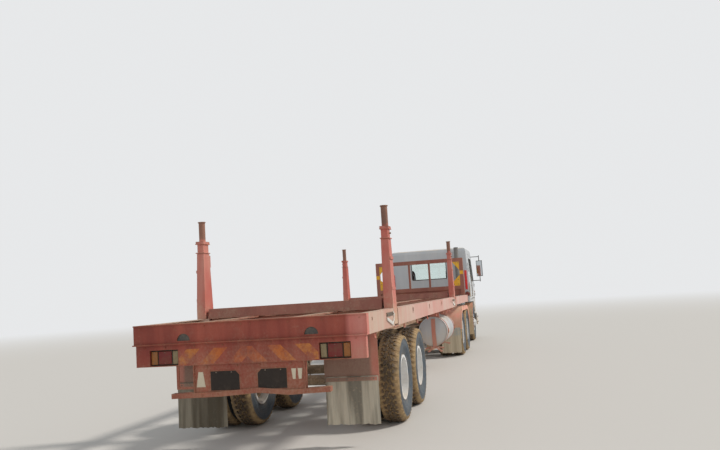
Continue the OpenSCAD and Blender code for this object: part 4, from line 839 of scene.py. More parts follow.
def tyre_section():
    """Half of the section as (radius, side), from the bead to the middle of the tread."""
    groove = tyre_radius - tread_depth
    bulge = [
        (0.400 + 0.070 * math.cos(a), tyre_width / 2 - 0.071 + 0.070 * math.sin(a))
        for a in (math.radians(d) for d in (135, 115, 95, 75, 60))
    ]
    return [(bead_radius, 0.098), (0.272, 0.099), (0.286, 0.103)] + bulge + [
        (0.462, 0.130), (0.466, 0.134), (0.480, 0.133), (0.484, 0.127), (0.505, 0.122),
        (groove - 0.006, 0.112), (groove, 0.095), (groove, 0.0),
    ]


def add_ring_of(bm, made, count):
    """Copies what was made round the axle, count places in all."""
    bmesh.ops.spin(
        bm, geom=faces_of(made), cent=(0, 0, 0), axis=(0, 1, 0), dvec=(0, 0, 0),
        angle=math.tau * (count - 1) / count, steps=count - 1, use_duplicate=True,
    )


def add_tread_block(bm, side, reach, length, slant, edge):
    """A block on the tread with half sizes reach and length, slanted by so many degrees."""
    low = Vector((tyre_radius - tread_depth - 0.004, side - reach, -length))
    high = Vector((tyre_radius, side + reach, length))
    return add_block(bm, low, high, edge, Matrix.Rotation(math.radians(slant), 3, "X"))


def build_tyre():
    """One tyre round the Y axis, as a mesh to be copied to each wheel."""
    bm = bmesh.new()
    half = tyre_section()
    section = half + [(r, -s) for r, s in reversed(half[:-1])]
    line = [bm.verts.new((r, s, 0)) for r, s in section]
    edges = [bm.edges.new(pair) for pair in zip(line, line[1:])]
    bmesh.ops.spin(
        bm, geom=line + edges, cent=(0, 0, 0), axis=(0, 1, 0), dvec=(0, 0, 0),
        angle=math.tau, steps=72, use_merge=True,
    )
    bmesh.ops.bridge_loops(bm, edges=[e for e in bm.edges if e.is_boundary])
    half_step = Matrix.Rotation(math.pi / rib_count, 3, "Y")
    for side in (1, -1):
        lug = add_tread_block(bm, side * 0.094, 0.038, 0.0215, side * 14, 0.004)
        for vertex in lug:
            vertex.co.x -= max(0.0, abs(vertex.co.y) - shoulder_at)
        add_ring_of(bm, lug, lug_count)
        rib = add_tread_block(bm, side * 0.027, 0.020, 0.038, side * -24, 0.003)
        if side < 0:
            bmesh.ops.rotate(bm, verts=rib, cent=(0, 0, 0), matrix=half_step)
        add_ring_of(bm, rib, rib_count)
    bmesh.ops.recalc_face_normals(bm, faces=bm.faces)
    mesh = bpy.data.meshes.new("tyre")
    bm.to_mesh(mesh)
    bm.free()
    return mesh


tyre_shape = build_tyre()
twin_half = 0.160
wheel_bodies = sorted(b for b in frame["bodies"] if b.startswith("wheel_"))
tyre_rubber = {}


def dress_wheel(body):
    place = body.split("_", 1)[1]
    node = next(n for n in nodes if n.startswith("tyre") and n.split("_", 1)[1] == place)
    low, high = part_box(node)
    middle = (low + high) / 2
    twin = high.y - low.y > 1.5 * tyre_width
    key = round(middle.x, 2)
    if key not in tyre_rubber:
        tyre_rubber[key] = tyre_material("tyre rubber " + place.rsplit("_", 1)[0], middle.x)
    bm = bmesh.new()
    for shift in (-twin_half, twin_half) if twin else (0,):
        start = len(bm.verts)
        bm.from_mesh(tyre_shape)
        bm.verts.ensure_lookup_table()
        fresh = bm.verts[start:]
        spin = Matrix.Rotation(random.uniform(0, math.tau), 3, "Y")
        bmesh.ops.rotate(bm, verts=fresh, cent=(0, 0, 0), matrix=spin)
        bmesh.ops.translate(bm, verts=fresh, vec=middle + Vector((0, shift, 0)))
    make_piece(node + "_tread", bm, [tyre_rubber[key]], body, (node,), 40)


for body in wheel_bodies:
    dress_wheel(body)
print(len(wheel_bodies), "wheels,", len(tyre_shape.polygons), "faces a tyre")

# %% [markdown]
# Wheel nuts. Ten studs hold each wheel, in a ring between the hub cap and the hand holes, each with its
# nut and a little of the stud past it. The cap has its own small bolts, and a valve stem looks out of
# one hand hole. One nut is made and spun round, like the lugs.

# %% Wheel nuts, cap bolts and valves
nut_ring = 0.152
nut_count = 10
cap_bolt_ring = 0.104
cap_bolt_count = 8
steered_face = 0.104
# Washer, nut and the end of the stud: from, to, radius, corners
nut_parts = ((0, 0.004, 0.021, 16), (0.004, 0.026, 0.0175, 6), (0.026, 0.040, 0.010, 10))


def dress_hub(body):
    """Nuts on the outer face of a wheel's disc."""
    joint = next(j for j in frame["joints"] if j["child"] == body)
    middle = Vector(joint["pos_m"])
    side = 1 if middle.y > 0 else -1
    steered = "steer" in body
    face = steered_face if steered else 0.013
    nose = steered_face + 0.0315 if steered else 0.0525
    bm = bmesh.new()
    made = []
    for low, high, radius, corners in nut_parts:
        made += add_bar(bm, (nut_ring, face + low, 0), (nut_ring, face + high, 0), radius, corners)
    add_ring_of(bm, made, nut_count)
    bolt = add_bar(bm, (cap_bolt_ring, nose - 0.004, 0), (cap_bolt_ring, nose + 0.007, 0), 0.008, 6)
    add_ring_of(bm, bolt, cap_bolt_count)
    add_bar(bm, (0.222, face - 0.02, 0.0), (0.212, face + 0.05, 0.012), 0.005, 8)
    bmesh.ops.scale(bm, vec=(1, side, 1), verts=bm.verts)
    bmesh.ops.translate(bm, vec=middle, verts=bm.verts)
    make_piece("nuts_" + body.split("_", 1)[1], bm, [nut_steel], body)


for body in wheel_bodies:
    dress_hub(body)
print("nuts on", len(wheel_bodies), "wheels")

# %% [markdown]
# Some parts need shapes that a block or a bar can't give: a plate with its own outline, a bent rod, a
# closed ring. A prism is one face pushed along a vector. A rod is a curve with a round section, taken
# over as a mesh. Much of the lorry is the same left and right, so a shape can be mirrored too.

# %% Helpers for outlines, rods and mirrored shapes


def add_prism(bm, points, along, edge=0.0, material=0):
    """A flat outline pushed along a vector, its edges rounded by edge."""
    face = bm.faces.new([bm.verts.new(p) for p in points])
    base = list(face.verts)
    pushed = bmesh.ops.extrude_face_region(bm, geom=[face])["geom"]
    made = [g for g in pushed if isinstance(g, bmesh.types.BMVert)]
    bmesh.ops.translate(bm, vec=along, verts=made)
    made += base
    if edge:
        made = round_edges(bm, made, edge)
    return set_material(made, material)


def add_rod(bm, points, radius, closed=False, curved=False, material=0):
    """A round rod along points, straight from one to the next, or curved past them."""
    curve = bpy.data.curves.new("rod", "CURVE")
    curve.dimensions = "3D"
    curve.bevel_depth = radius
    curve.bevel_resolution = 2
    curve.use_fill_caps = True
    line = curve.splines.new("NURBS" if curved else "POLY")
    line.points.add(len(points) - 1)
    for knot, point in zip(line.points, points):
        knot.co = (*point, 1)
    line.use_cyclic_u = closed
    if curved:
        line.order_u = 3
        line.use_endpoint_u = not closed
        line.resolution_u = 5
    holder = bpy.data.objects.new("rod", curve)
    mesh = bpy.data.meshes.new_from_object(holder)
    mesh.polygons.foreach_set("material_index", [material] * len(mesh.polygons))
    before = set(bm.verts)
    bm.from_mesh(mesh)
    bpy.data.objects.remove(holder)
    bpy.data.curves.remove(curve)
    bpy.data.meshes.remove(mesh)
    return [v for v in bm.verts if v not in before]


def circle_points(middle, radius, axis, count=24):
    """Points of a circle round one of the three axes."""
    angles = [math.tau * i / count for i in range(count)]
    pairs = [(radius * math.cos(a), radius * math.sin(a)) for a in angles]
    spot = "XYZ".index(axis)
    return [Vector(middle) + Vector((*pair[:spot], 0, *pair[spot:])) for pair in pairs]


def add_ring(bm, middle, radius, thick, axis, count=24, material=0):
    """A round rod bent to a circle round one of the three axes."""
    add_rod(bm, circle_points(middle, radius, axis, count), thick, closed=True, material=material)


def mirrored(bm):
    """Adds the mirror image of everything in bm, across the lorry's middle."""
    made = bmesh.ops.duplicate(bm, geom=bm.verts[:] + bm.edges[:] + bm.faces[:])["geom"]
    bmesh.ops.scale(bm, vec=(1, -1, 1), verts=[g for g in made if isinstance(g, bmesh.types.BMVert)])


def add_bolt(bm, place, towards, size=0.010, material=0):
    """A washer and a hexagon head that stand on a face at place."""
    place, towards = Vector(place), Vector(towards)
    washer = place + towards * 0.15 * size
    add_bar(bm, place - towards * 0.001, washer, size, 12, material=material)
    add_bar(bm, washer, place + towards * 0.9 * size, 0.75 * size, 6, material=material)


half_width = 1.25
print("deck at", round(deck_top, 3), "rail's lower edge at", round(rail_bottom, 3))

# %% [markdown]
# Each rear lamp is a row of three lenses in a dark recess: a narrow cream one towards the middle, a wide
# dark red one, and an amber one at the outside. Two screws hold each lens. The left lamp is the right
# one mirrored.

# %% Rear lamps
lens_places = ((0.764, 0.824, 2), (0.838, 0.985, 0), (0.998, 1.066, 1))


def build_lamps():
    bm = bmesh.new()
    low, high = lamp_box[0].z, lamp_box[1].z
    add_block(bm, (at(0.094), 0.757, low - 0.006), (at(0.110), 1.073, high + 0.006), material=3)
    for inner, outer, colour in lens_places:
        add_block(bm, (at(0.070), inner - 0.004, low), (at(0.096), outer + 0.004, high), 0.002, material=3)
        corner = (at(0.074), outer, high - 0.005)
        add_block(bm, (at(0.057), inner, low + 0.005), corner, 0.006, None, 3, colour)
        middle = (inner + outer) / 2
        for z in (low + 0.018, high - 0.018):
            add_bar(bm, (at(0.060), middle, z), (at(0.0555), middle, z), 0.0045, 10, material=4)
    mirrored(bm)
    materials = [red_lens, amber_lens, cream_lens, black_plastic, nut_steel]
    make_piece("rear_lamps", bm, materials, "trailer", ("tail_lamps",))


build_lamps()
print("lenses", 2 * len(lens_places))

# %% [markdown]
# Below the lamps hang two blank number plates with one cut corner each, dark with a worn rim, and blank
# cream signs at the outside, old paint on thin sheet. All of them are bolted to the panel, and the bent
# bar under them is bolted to its brackets. Black sheets behind the chain slots above keep them dark:
# painted shade.

# %% Plates and signs at the rear
plate_front = at(0.060)
plate_cut = 0.040
sign_top = 0.905
plate_dark = painted(
    "plate", (0.014, 0.011, 0.010), (0.040, 0.030, 0.026), (0.5, 0.4, 0.05, 0.3, 0.85),
    (0.22, 0.13, 0.08), (0.3, 0.9, 0.14, 0.5, 0.05))
cream_paint = painted(
    "cream paint", (0.66, 0.58, 0.43), (0.74, 0.68, 0.54), (0.5, 0.4, 0.30, 0.6, 0.5),
    (0.46, 0.33, 0.22), (0.4, 1.2, 0.35, 0.4, 0.12))
# Inner and outer edge, lower and upper edge, of the left and of the right plate
number_plates = ((0.090, 0.420, 0.706, 0.916), (-0.088, -0.412, 0.708, 0.922))


def plate_outline(inner, outer, low, high, inset):
    """A rectangle whose upper inner corner is cut off, drawn in by inset."""
    side = 1 if outer > inner else -1
    y0, y1 = inner + side * inset, outer - side * inset
    z0, z1 = low + inset, high - inset
    return [(y0, z0), (y1, z0), (y1, z1), (y0 + side * plate_cut, z1), (y0, z1 - plate_cut)]


def build_number_plates():
    bm = bmesh.new()
    for plate in number_plates:
        for inset, thick, shade in ((0.0, 0.004, 1), (0.009, 0.006, 0)):
            points = [(plate_front, y, z) for y, z in plate_outline(*plate, inset)]
            add_prism(bm, points, (-thick, 0, 0), 0.0012, shade)
        inner, outer, _, high = plate
        for share in (0.28, 0.78):
            y = inner * (1 - share) + outer * share
            add_bolt(bm, (plate_front - 0.006, y, high - 0.022), (-1, 0, 0), 0.007, 2)
    make_piece("number_plates", bm, [plate_dark, rear_paint_with_painted_light, nut_steel], "trailer")


def build_signs():
    bm = bmesh.new()
    # Both upper corners, both lower corners, and the lower edge's height
    for a, b, c, d, z in (
        (0.494, 0.546, 0.570, 0.470, 0.752),
        (-0.450, -0.500, -0.492, -0.462, 0.800),
        (-0.516, -0.566, -0.554, -0.524, 0.800),
    ):
        outline = ((a, sign_top), (b, sign_top), (c, z), (d, z))
        add_prism(bm, [(plate_front, *point) for point in outline], (-0.0025, 0, 0), 0.0008)
    # Black sheets behind the chain slots: painted shade in the holes
    for side in (1, -1):
        low, high = sorted((side * 0.605, side * 0.765))
        add_block(bm, (at(0.0425), low, 1.212), (at(0.0465), high, 1.322), 0, None, 1, 1)
    make_piece("rear_signs", bm, [cream_paint, black_plastic], "trailer")


def build_rear_bolts():
    bm = bmesh.new()
    for d, z, size, sides in (
        (0.040, 1.170, 0.010, (0.26, 0.57, 0.90, 1.13)), (0.030, 1.368, 0.009, (0.05, 0.45, 0.80, 1.18)),
        (0.060, 0.955, 0.010, (0.12, 0.45)), (0.040, 0.672, 0.010, (0.50,)),
    ):
        for y in sides:
            add_bolt(bm, (at(d), y, z), (-1, 0, 0), size)
    mirrored(bm)
    make_piece("rear_bolts", bm, [rear_paint_with_painted_light], "trailer")


build_number_plates()
build_signs()
build_rear_bolts()
print("plates", len(number_plates))

# %% [markdown]
# The mud flaps are thick sheet rubber. Years of hanging and flapping have given each a few broad upright
# folds that grow towards the free lower edge, and the lower edge is a little ragged. Each is a fine grid
# that is moved by a sum of slow waves and then given its thickness. A steel strip clamps the top. The
# plate that a trailer's flap hangs from still has its coral paint, darkened on its inner part by soot and
# painted shade.

# %% Mud flaps
flap_grid = (36, 20)
strip_bolts = 6


def add_flap(bm, box, waves, ragged, thickness):
    """A sheet in the box's middle plane, folded along its width. waves are (reach, count, phase)."""
    low, high = box
    made = bmesh.ops.create_grid(bm, x_segments=flap_grid[0], y_segments=flap_grid[1], size=0.5)["verts"]
    faces = faces_of(made)
    for vertex in made:
        across, up = vertex.co.x + 0.5, vertex.co.y + 0.5
        free = (1 - up) ** 0.8
        bend = sum(r * math.cos(math.tau * (count * across + phase)) for r, count, phase in waves)
        tear = ragged * math.sin(across * 31) * math.sin(across * 13 + 1) * (1 - up) ** 6
        vertex.co = Vector((
            (low.x + high.x) / 2 + bend * (0.25 + 0.75 * free),
            low.y + (high.y - low.y) * across,
            low.z + (high.z - low.z) * up + abs(tear),
        ))
    bmesh.ops.recalc_face_normals(bm, faces=faces)
    bmesh.ops.solidify(bm, geom=faces, thickness=thickness)


def build_flaps(node, material, body, width, waves, strip):
    """The pair of flaps of a node; strip is the height of the clamping strip, where there is one."""
    low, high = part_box(node)
    outer = high.y
    for side in side_words:
        bm = bmesh.new()
        corner_low = Vector((low.x, outer - width, low.z))
        corner_high = Vector((high.x, outer, high.z))
        add_flap(bm, (corner_low, corner_high), waves[side], 0.012, 0.007)
        if strip:
            x = low.x - 0.012
            corner = (x + 0.006, outer - 0.01, strip + 0.020)
            add_block(bm, (x, outer - width + 0.01, strip - 0.020), corner, 0.001, material=1)
            for i in range(strip_bolts):
                y = outer - width + 0.05 + i * (width - 0.1) / (strip_bolts - 1)
                add_bolt(bm, (x, y, strip), (-1, 0, 0), 0.010, 2)
        bmesh.ops.scale(bm, vec=(1, side, 1), verts=bm.verts)
        name = node + "_" + side_words[side]
        make_piece(name, bm, [material, rail_paint, nut_steel], body, (node,), 40)


build_flaps(
    "trailer_mud_flaps", trailer_flap_rubber, "trailer", 0.585,
    {1: ((0.010, 2.4, 0.1), (0.004, 5.3, 0.4)), -1: ((0.013, 2.1, 0.55), (0.004, 4.7, 0.2))}, 0.69,
)
build_flaps(
    "tractor_mud_flaps", tractor_flap_rubber, "tractor", 0.455,
    {1: ((0.004, 1.4, 0.3), (0.002, 3.1, 0.2)), -1: ((0.004, 1.2, 0.6), (0.002, 3.4, 0.0))}, 0.0,
)
print("flaps 4")

# %% [markdown]
# Stakes. On each hangs a short chain with its hook; bands are welded round the box, and the collar has
# a lip and a pin. A chain link is a closed rod on a small stadium-shaped line, every second link turned
# a quarter round the chain. The chain rides on its stake, so it swings out with it.

# %% Stake fittings
stake_ds = {"rear": 1.62, "front": 8.90}
stake_inner, stake_outer = 1.135, 1.245
stake_head = 2.225
chain_pitch = 0.034
chain_links = 9
worn_chain = painted(
    "worn chain", (0.12, 0.085, 0.06), (0.30, 0.20, 0.13), (0.7, 0.3, 0.5, 0.5, 0.5),
    (0.46, 0.33, 0.21), (0.6, 2.2, 0.2, 0.5, 0.15))


def add_link(bm, middle, turned):
    """One link that hangs along Z, its flat side along X or, turned, along Y."""
    half, bend = chain_pitch * 0.42, 0.011
    shape = []
    for sign in (1, -1):
        for angle in (0, 45, 90, 135, 180):
            a = math.radians(angle)
            shape.append((sign * bend * math.cos(a), sign * (half + bend * math.sin(a))))
    points = [Vector(middle) + Vector((0, u, v) if turned else (u, 0, v)) for u, v in shape]
    add_rod(bm, points, 0.0048, closed=True)


def build_stake_fittings(end, side):
    x = at(stake_ds[end])
    bm = bmesh.new()
    middle = (stake_inner + stake_outer) / 2
    top = Vector((x + 0.1315, middle, stake_head - 0.165))
    for i in range(chain_links):
        add_link(bm, top - Vector((0, 0, i * chain_pitch)), i % 2 == 1)
    hook = top - Vector((0, 0, chain_links * chain_pitch))
    bend = ((0, 0.012), (0, -0.05), (0.012, -0.085), (0.045, -0.092), (0.062, -0.065), (0.060, -0.040))
    add_rod(bm, [hook + Vector((ahead, 0, up)) for ahead, up in bend], 0.009, curved=True)
    # Stiffening bands that are welded round the box, and the lip of its collar
    for low, high, z, half, thick in (
        (stake_outer - 0.010, stake_outer + 0.004, 1.62, 0.111, 0.036),
        (stake_outer - 0.010, stake_outer + 0.004, 1.98, 0.094, 0.036),
        (stake_inner - 0.002, stake_outer + 0.002, stake_head + 0.004, 0.094, 0.012),
        (stake_inner - 0.002, stake_outer + 0.002, stake_head + 0.118, 0.094, 0.012),
    ):
        add_block(bm, (x - half, low, z), (x + half, high, z + thick), 0.002, material=1)
    z = stake_head + 0.07
    add_bar(bm, (x, stake_outer - 0.02, z), (x, stake_outer + 0.010, z), 0.011, 12)
    bmesh.ops.scale(bm, vec=(1, side, 1), verts=bm.verts)
    place = f"{end}_{side_words[side]}"
    materials = [worn_chain, stake_paint]
    make_piece("stake_fittings_" + place, bm, materials, "stake_" + place)


for end in stake_ds:
    for side in side_words:
        build_stake_fittings(end, side)
print("stakes dressed", 2 * len(stake_ds))

# %% [markdown]
# The side rails. Each lashing hole has a welded rim, each stake pocket has a bright worn latch and a
# split pin through its hinge. Welds show as thin beads where the pockets join the rail. A few dents
# stay in the paint's relief.

# %% Rail fittings
hole_places = [stake_ds["rear"] + 1.3 + 1.7 * i for i in range(4)]
hole_height = deck_top - 0.32 * (deck_top - rail_bottom)
hinge_y, hinge_z = 1.215, 1.270
# The latch's lever, as places ahead of the hinge plate's middle and heights
lever = (
    (0.0, 1.352), (-0.020, 1.300), (-0.110, 1.252), (-0.420, 1.318), (-0.440, 1.296),
    (-0.425, 1.280), (-0.120, 1.214), (-0.040, 1.262), (0.010, 1.330),
)
bright_steel = painted(
    "bright worn steel", (0.62, 0.60, 0.56), (0.82, 0.80, 0.76), (0.7, 0.3, 0.08, 0.3, 0.35),
    (0.52, 0.40, 0.28), (0.6, 1.3, 0.15, 0.4, 0.04))


def build_rail_fittings():
    bm = bmesh.new()
    for d in hole_places:
        add_ring(bm, (at(d), half_width + 0.001, hole_height), 0.039, 0.005, "Y")
    for d in stake_ds.values():
        for way in (-1, 1):
            edge = at(d + way * 0.138)
            bead = [(edge, half_width, z) for z in (rail_bottom + 0.004, deck_top - 0.004)]
            add_rod(bm, bead, 0.004)
            cap = edge + way * 0.022
            add_bar(bm, (edge, hinge_y, hinge_z), (cap, hinge_y, hinge_z), 0.027, 16, material=1)
            pin = edge + way * 0.014
            legs = [(pin, hinge_y, 1.305), (pin, hinge_y, 1.232), (pin, hinge_y + 0.013, 1.222)]
            add_rod(bm, legs, 0.003, material=1)
        # The latch: a dark hinge plate, and under it a bent bright lever that hooks into the lug
        x = at(d - 0.160)
        add_block(bm, (x - 0.016, 1.214, 1.318), (x + 0.010, 1.256, 1.372), 0.003, material=2)
        face = half_width + 0.005
        add_block(bm, (x - 0.430, half_width, 1.322), (x - 0.030, face, 1.368), 0.002, material=1)
        for shift in (-0.400, -0.060):
            add_bolt(bm, (x + shift, face, 1.345), (0, 1, 0), 0.010, 1)
        outline = [(x + forward, half_width + 0.004, z) for forward, z in lever]
        add_prism(bm, outline, (0, 0.010, 0), 0.002, 2)
    mirrored(bm)
    materials = [rail_paint, chassis_iron, bright_steel]
    make_piece("rail_fittings", bm, materials, "trailer")


build_rail_fittings()
print("holes", len(hole_places) * 2)

# %% [markdown]
# The headboard is a dark rusty frame whose corner gussets are painted yellow. Each gusset plate gets a
# thin painted face with bolts on both sides, and the post a yellow panel where the paint has stayed.

# %% Headboard plates
yellow_paint = painted(
    "yellow paint", (0.86, 0.42, 0.012), (0.88, 0.54, 0.05), (0.6, 0.4, 0.24, 0.9, 0.42),
    (0.55, 0.40, 0.22), (1.2, 1.9, 0.15, 0.5, 0.03))
board_low, board_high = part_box("headboard")
board_inner = 1.09
board_sill = deck_top + 0.260


def build_headboard_plates():
    bm = bmesh.new()
    top, face = board_high.z, board_low.x
    # Upper and lower gusset, as a base height, an outline and its bolts
    gussets = (
        (top, ((0, -0.100), (-0.180, -0.100), (0, -0.330)), ((-0.03, -0.13), (-0.09, -0.13))),
        (board_sill, ((0, 0), (-0.290, 0), (0, 0.290)), ((-0.04, 0.04), (-0.16, 0.04), (-0.04, 0.16))),
    )
    for x, way in ((face, -1), (face + 0.012, 1)):
        for base, outline, bolts in gussets:
            points = [(x, board_inner + y, base + z) for y, z in outline]
            add_prism(bm, points, (way * 0.003, 0, 0))
            for y, z in bolts:
                add_bolt(bm, (x + way * 0.003, board_inner + y, base + z), (way, 0, 0), 0.010, 1)
    add_block(bm, (face - 0.002, 1.092, board_sill + 0.30), (face, 1.188, top - 0.34))
    mirrored(bm)
    make_piece("headboard_plates", bm, [yellow_paint, nut_steel], "trailer")


build_headboard_plates()
print("headboard top", round(board_high.z, 3))

# %% [markdown]
# The brake-water tank hangs in two straps on the right. Its ends are domed, with a weld bead round each
# seam, a filler with a cap on top and a drain tap below. The straps are tightened by a bolt, and a third
# strap runs down the rear end to two splayed feet.

# %% Water tank fittings
tank_low, tank_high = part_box("water_tank")
tank_mid = (tank_low + tank_high) / 2
tank_radius = (tank_high.z - tank_low.z) / 2


def build_tank_fittings():
    bm = bmesh.new()
    for x in (tank_low.x + 0.046, tank_mid.x, tank_high.x - 0.046):
        add_ring(bm, (x, tank_mid.y, tank_mid.z), tank_radius, 0.004, "X", 40)
    filler = Vector((tank_mid.x, tank_mid.y - 0.03, tank_high.z - 0.012))
    rise = Vector((0, 0, 1))
    add_bar(bm, filler, filler + rise * 0.050, 0.050, 24)
    add_bar(bm, filler + rise * 0.046, filler + rise * 0.072, 0.058, 12, 0.054, material=1)
    tap = Vector((tank_low.x + 0.12, tank_mid.y, tank_low.z + 0.008))
    add_bar(bm, tap, tap - rise * 0.060, 0.014, 12, material=2)
    valve = tap - rise * 0.045
    add_bar(bm, valve - Vector((0, 0.030, 0)), valve + Vector((0, 0.030, 0)), 0.010, 10, material=2)
    low, high = Vector((-0.006, -0.075, -0.005)), Vector((0.006, -0.028, 0.005))
    add_block(bm, valve + low, valve + high, 0.002, material=2)
    # Flat strap down the middle of the rear end, with two splayed feet
    back = tank_low.x - 0.004
    strap = ((0.245, 0.052), (0.130, 0.014), (0.0, 0.0), (-0.130, 0.014), (-0.245, 0.052), (-0.330, 0.052))
    outline = [(back + dent - 0.010, z) for z, dent in strap]
    outline += [(back + dent, z) for z, dent in reversed(strap)]
    add_prism(bm, [(x, tank_mid.y - 0.058, tank_mid.z + z) for x, z in outline], (0, 0.078, 0), 0, 3)
    foot = ((0.0, -0.300), (0.045, -0.300), (0.155, -0.385), (0.115, -0.400))
    for way in (-1, 1):
        points = [(back + 0.030, tank_mid.y - 0.02 + way * y, tank_mid.z + z) for y, z in foot]
        add_prism(bm, points, (0.024, 0, 0), 0.002, 3)
    for d in (0.150, tank_high.x - tank_low.x - 0.200):
        x = tank_low.x + d + 0.025
        for side in (-1, 1):
            y = tank_mid.y + side * (tank_radius + 0.012)
            middle, half = Vector((x, y, tank_mid.z)), Vector((0.02, 0.012, 0.03))
            add_block(bm, middle - half, middle + half, 0.003, material=3)
            add_bar(bm, middle - rise * 0.05, middle + rise * 0.05, 0.007, 8, material=2)
    materials = [galvanised, black_plastic, nut_steel, rail_paint]
    make_piece("tank_fittings", bm, materials, "trailer")


build_tank_fittings()
print("tank at", round(tank_mid.x - rear_x, 3), round(tank_mid.z, 3))

# %% [markdown]
# Springs and axles. Bands keep the leaves of the trailer's springs together, nuts sit on the ends of the
# U-bolts, and each brake chamber has a clamp ring with two bolts. These small forms show from the side
# between the wheels and from below.

# %% Spring bands, U-bolt nuts, brake clamps
axle_ds = {"trailer": (2.12, 3.42), "tractor": (10.60, 11.90)}
trunnion_d = 11.25


def build_underside(body):
    bm = bmesh.new()
    for d in axle_ds[body]:
        x = at(d)
        if body == "trailer":
            for shift in (-0.28, 0.28):
                add_block(bm, (x + shift - 0.014, 0.449, 0.648), (x + shift + 0.014, 0.551, 0.728), 0.003)
            for shift in (-0.060, 0.060):
                for y in (0.445, 0.555):
                    for z in (0.722, 0.440):
                        add_bar(bm, (x + shift, y, z), (x + shift, y, z + 0.014), 0.015, 6)
            middle, radius = (x - 0.190, 0.60, 0.595), 0.055
        else:
            middle, radius = (x - 0.157, 0.480, 0.555), 0.052
        add_ring(bm, middle, radius + 0.002, 0.006, "X")
        for angle in (0.6, 3.74):
            place = Vector(middle) + Vector((0, math.cos(angle), math.sin(angle))) * (radius + 0.008)
            add_bar(bm, place - Vector((0.014, 0, 0)), place + Vector((0.014, 0, 0)), 0.006, 6)
    mirrored(bm)
    make_piece(f"spring_fittings_{body}", bm, [chassis_iron], body)


for body in axle_ds:
    build_underside(body)
print("underside dressed")

# %% [markdown]
# The tractor's rear. The fenders have a rolled bead along their outer edge, the frame's tail carries two
# lamps that shine through under the trailer, and the front mudguards end in the same kind of bead.

# %% Fender beads and tail lamps of the tractor
fender_radius = 0.607
guard_radius = 0.655
steer_d = 15.15


def arc_points(d, radius, start, end, y, count=14):
    """Points of an arc round an axle, seen from the side, with its angles in degrees."""
    angles = [math.radians(start + (end - start) * i / count) for i in range(count + 1)]
    return [(at(d) + radius * math.cos(a), y, axle_height + radius * math.sin(a)) for a in angles]


def build_fender_beads():
    bm = bmesh.new()
    rear, front = axle_ds["tractor"]
    line = arc_points(rear, fender_radius - 0.002, 169, 90, 1.247)
    line += arc_points(front, fender_radius - 0.002, 90, 11, 1.247)
    add_rod(bm, line, 0.009)
    for d in (rear + 0.1, trunnion_d, front - 0.1):
        for y in (0.70, 0.75):
            add_bolt(bm, (at(d), y, axle_height + fender_radius), (0, 0, 1), 0.011)
    add_rod(bm, arc_points(steer_d, guard_radius, 113, 193, 1.183), 0.007)
    mirrored(bm)
    make_piece("fender_beads", bm, [fender_paint], "tractor")


def build_tractor_lamps():
    bm = bmesh.new()
    add_block(bm, (at(9.700), 0.0, 0.850), (at(9.712), 0.425, 0.900), 0.002)
    add_block(bm, (at(9.706), 0.350, 0.800), (at(9.722), 0.420, 0.950), 0.002)
    add_block(bm, (at(9.662), 0.195, 0.815), (at(9.700), 0.405, 0.905), 0.006, None, 2)
    for inner, outer, colour in ((0.205, 0.268, 3), (0.272, 0.335, 1), (0.339, 0.395, 2)):
        add_block(bm, (at(9.650), inner, 0.823), (at(9.664), outer, 0.897), 0.004, None, 2, colour)
    mirrored(bm)
    materials = [black_plastic, red_lens, amber_lens, cream_lens]
    make_piece("tractor_lamps", bm, materials, "tractor")


build_fender_beads()
build_tractor_lamps()
print("fenders dressed")

# %% [markdown]
# Tanks, batteries and exhaust stand between the axles. The straps have tightening bolts, the fuel cap a
# grip ring, the battery box a lid with two clips, the air reservoirs their bands and drain valves. A
# slotted shield keeps hands off the silencer, and a hinged cap keeps the rain out of the stack.

# %% Tractor's side fittings
fuel_middle = Vector((at(13.785), 0.760, 0.670))
fuel_radius = 0.290
reservoir_y = -0.775
stack = Vector((at(14.150), -0.870, 0.0))
shield_radius, shield_low, shield_high = 0.139, 1.13, 1.70
shield_columns = 14


def build_side_fittings():
    bm = bmesh.new()
    for d in (13.264, 14.306):
        middle = (at(d), fuel_middle.y, fuel_middle.z)
        add_ring(bm, middle, fuel_radius - 0.002, 0.006, "X", 40)
    for d in (13.435, 14.135):
        place = Vector((at(d), fuel_middle.y, fuel_middle.z))
        low = place + Vector((0, 0.10, -fuel_radius - 0.016))
        add_bar(bm, low, low + Vector((0, 0.085, 0.022)), 0.009, 10, material=1)
        add_block(bm, low - Vector((0.016, 0.02, 0.006)), low + Vector((0.016, 0.010, 0.020)), 0.002)
    cap = Vector((at(13.58), 0.760, 1.000))
    add_bar(bm, cap, cap + Vector((0, 0, 0.020)), 0.064, 14, material=2)
    add_bar(bm, cap + Vector((0, 0, 0.018)), cap + Vector((0, 0, 0.032)), 0.046, 14, 0.040, material=2)
    # Battery box lid with its clips, on the right
    add_block(bm, (at(13.682), -0.992, 0.925), (at(14.318), -0.430, 0.952), 0.006, None, 2, 2)
    for d in (13.84, 14.16):
        add_block(bm, (at(d - 0.018), -1.000, 0.860), (at(d + 0.018), -0.984, 0.935), 0.003, material=1)
    for z in (0.630, 0.860):
        for d in (13.25, 13.60):
            add_ring(bm, (at(d), reservoir_y, z), 0.096, 0.005, "X")
        valve = Vector((at(13.42), reservoir_y, z - 0.093))
        add_bar(bm, valve, valve - Vector((0, 0, 0.025)), 0.009, 8, material=1)
    make_piece("side_fittings", bm, [galvanised, nut_steel, black_plastic], "tractor")


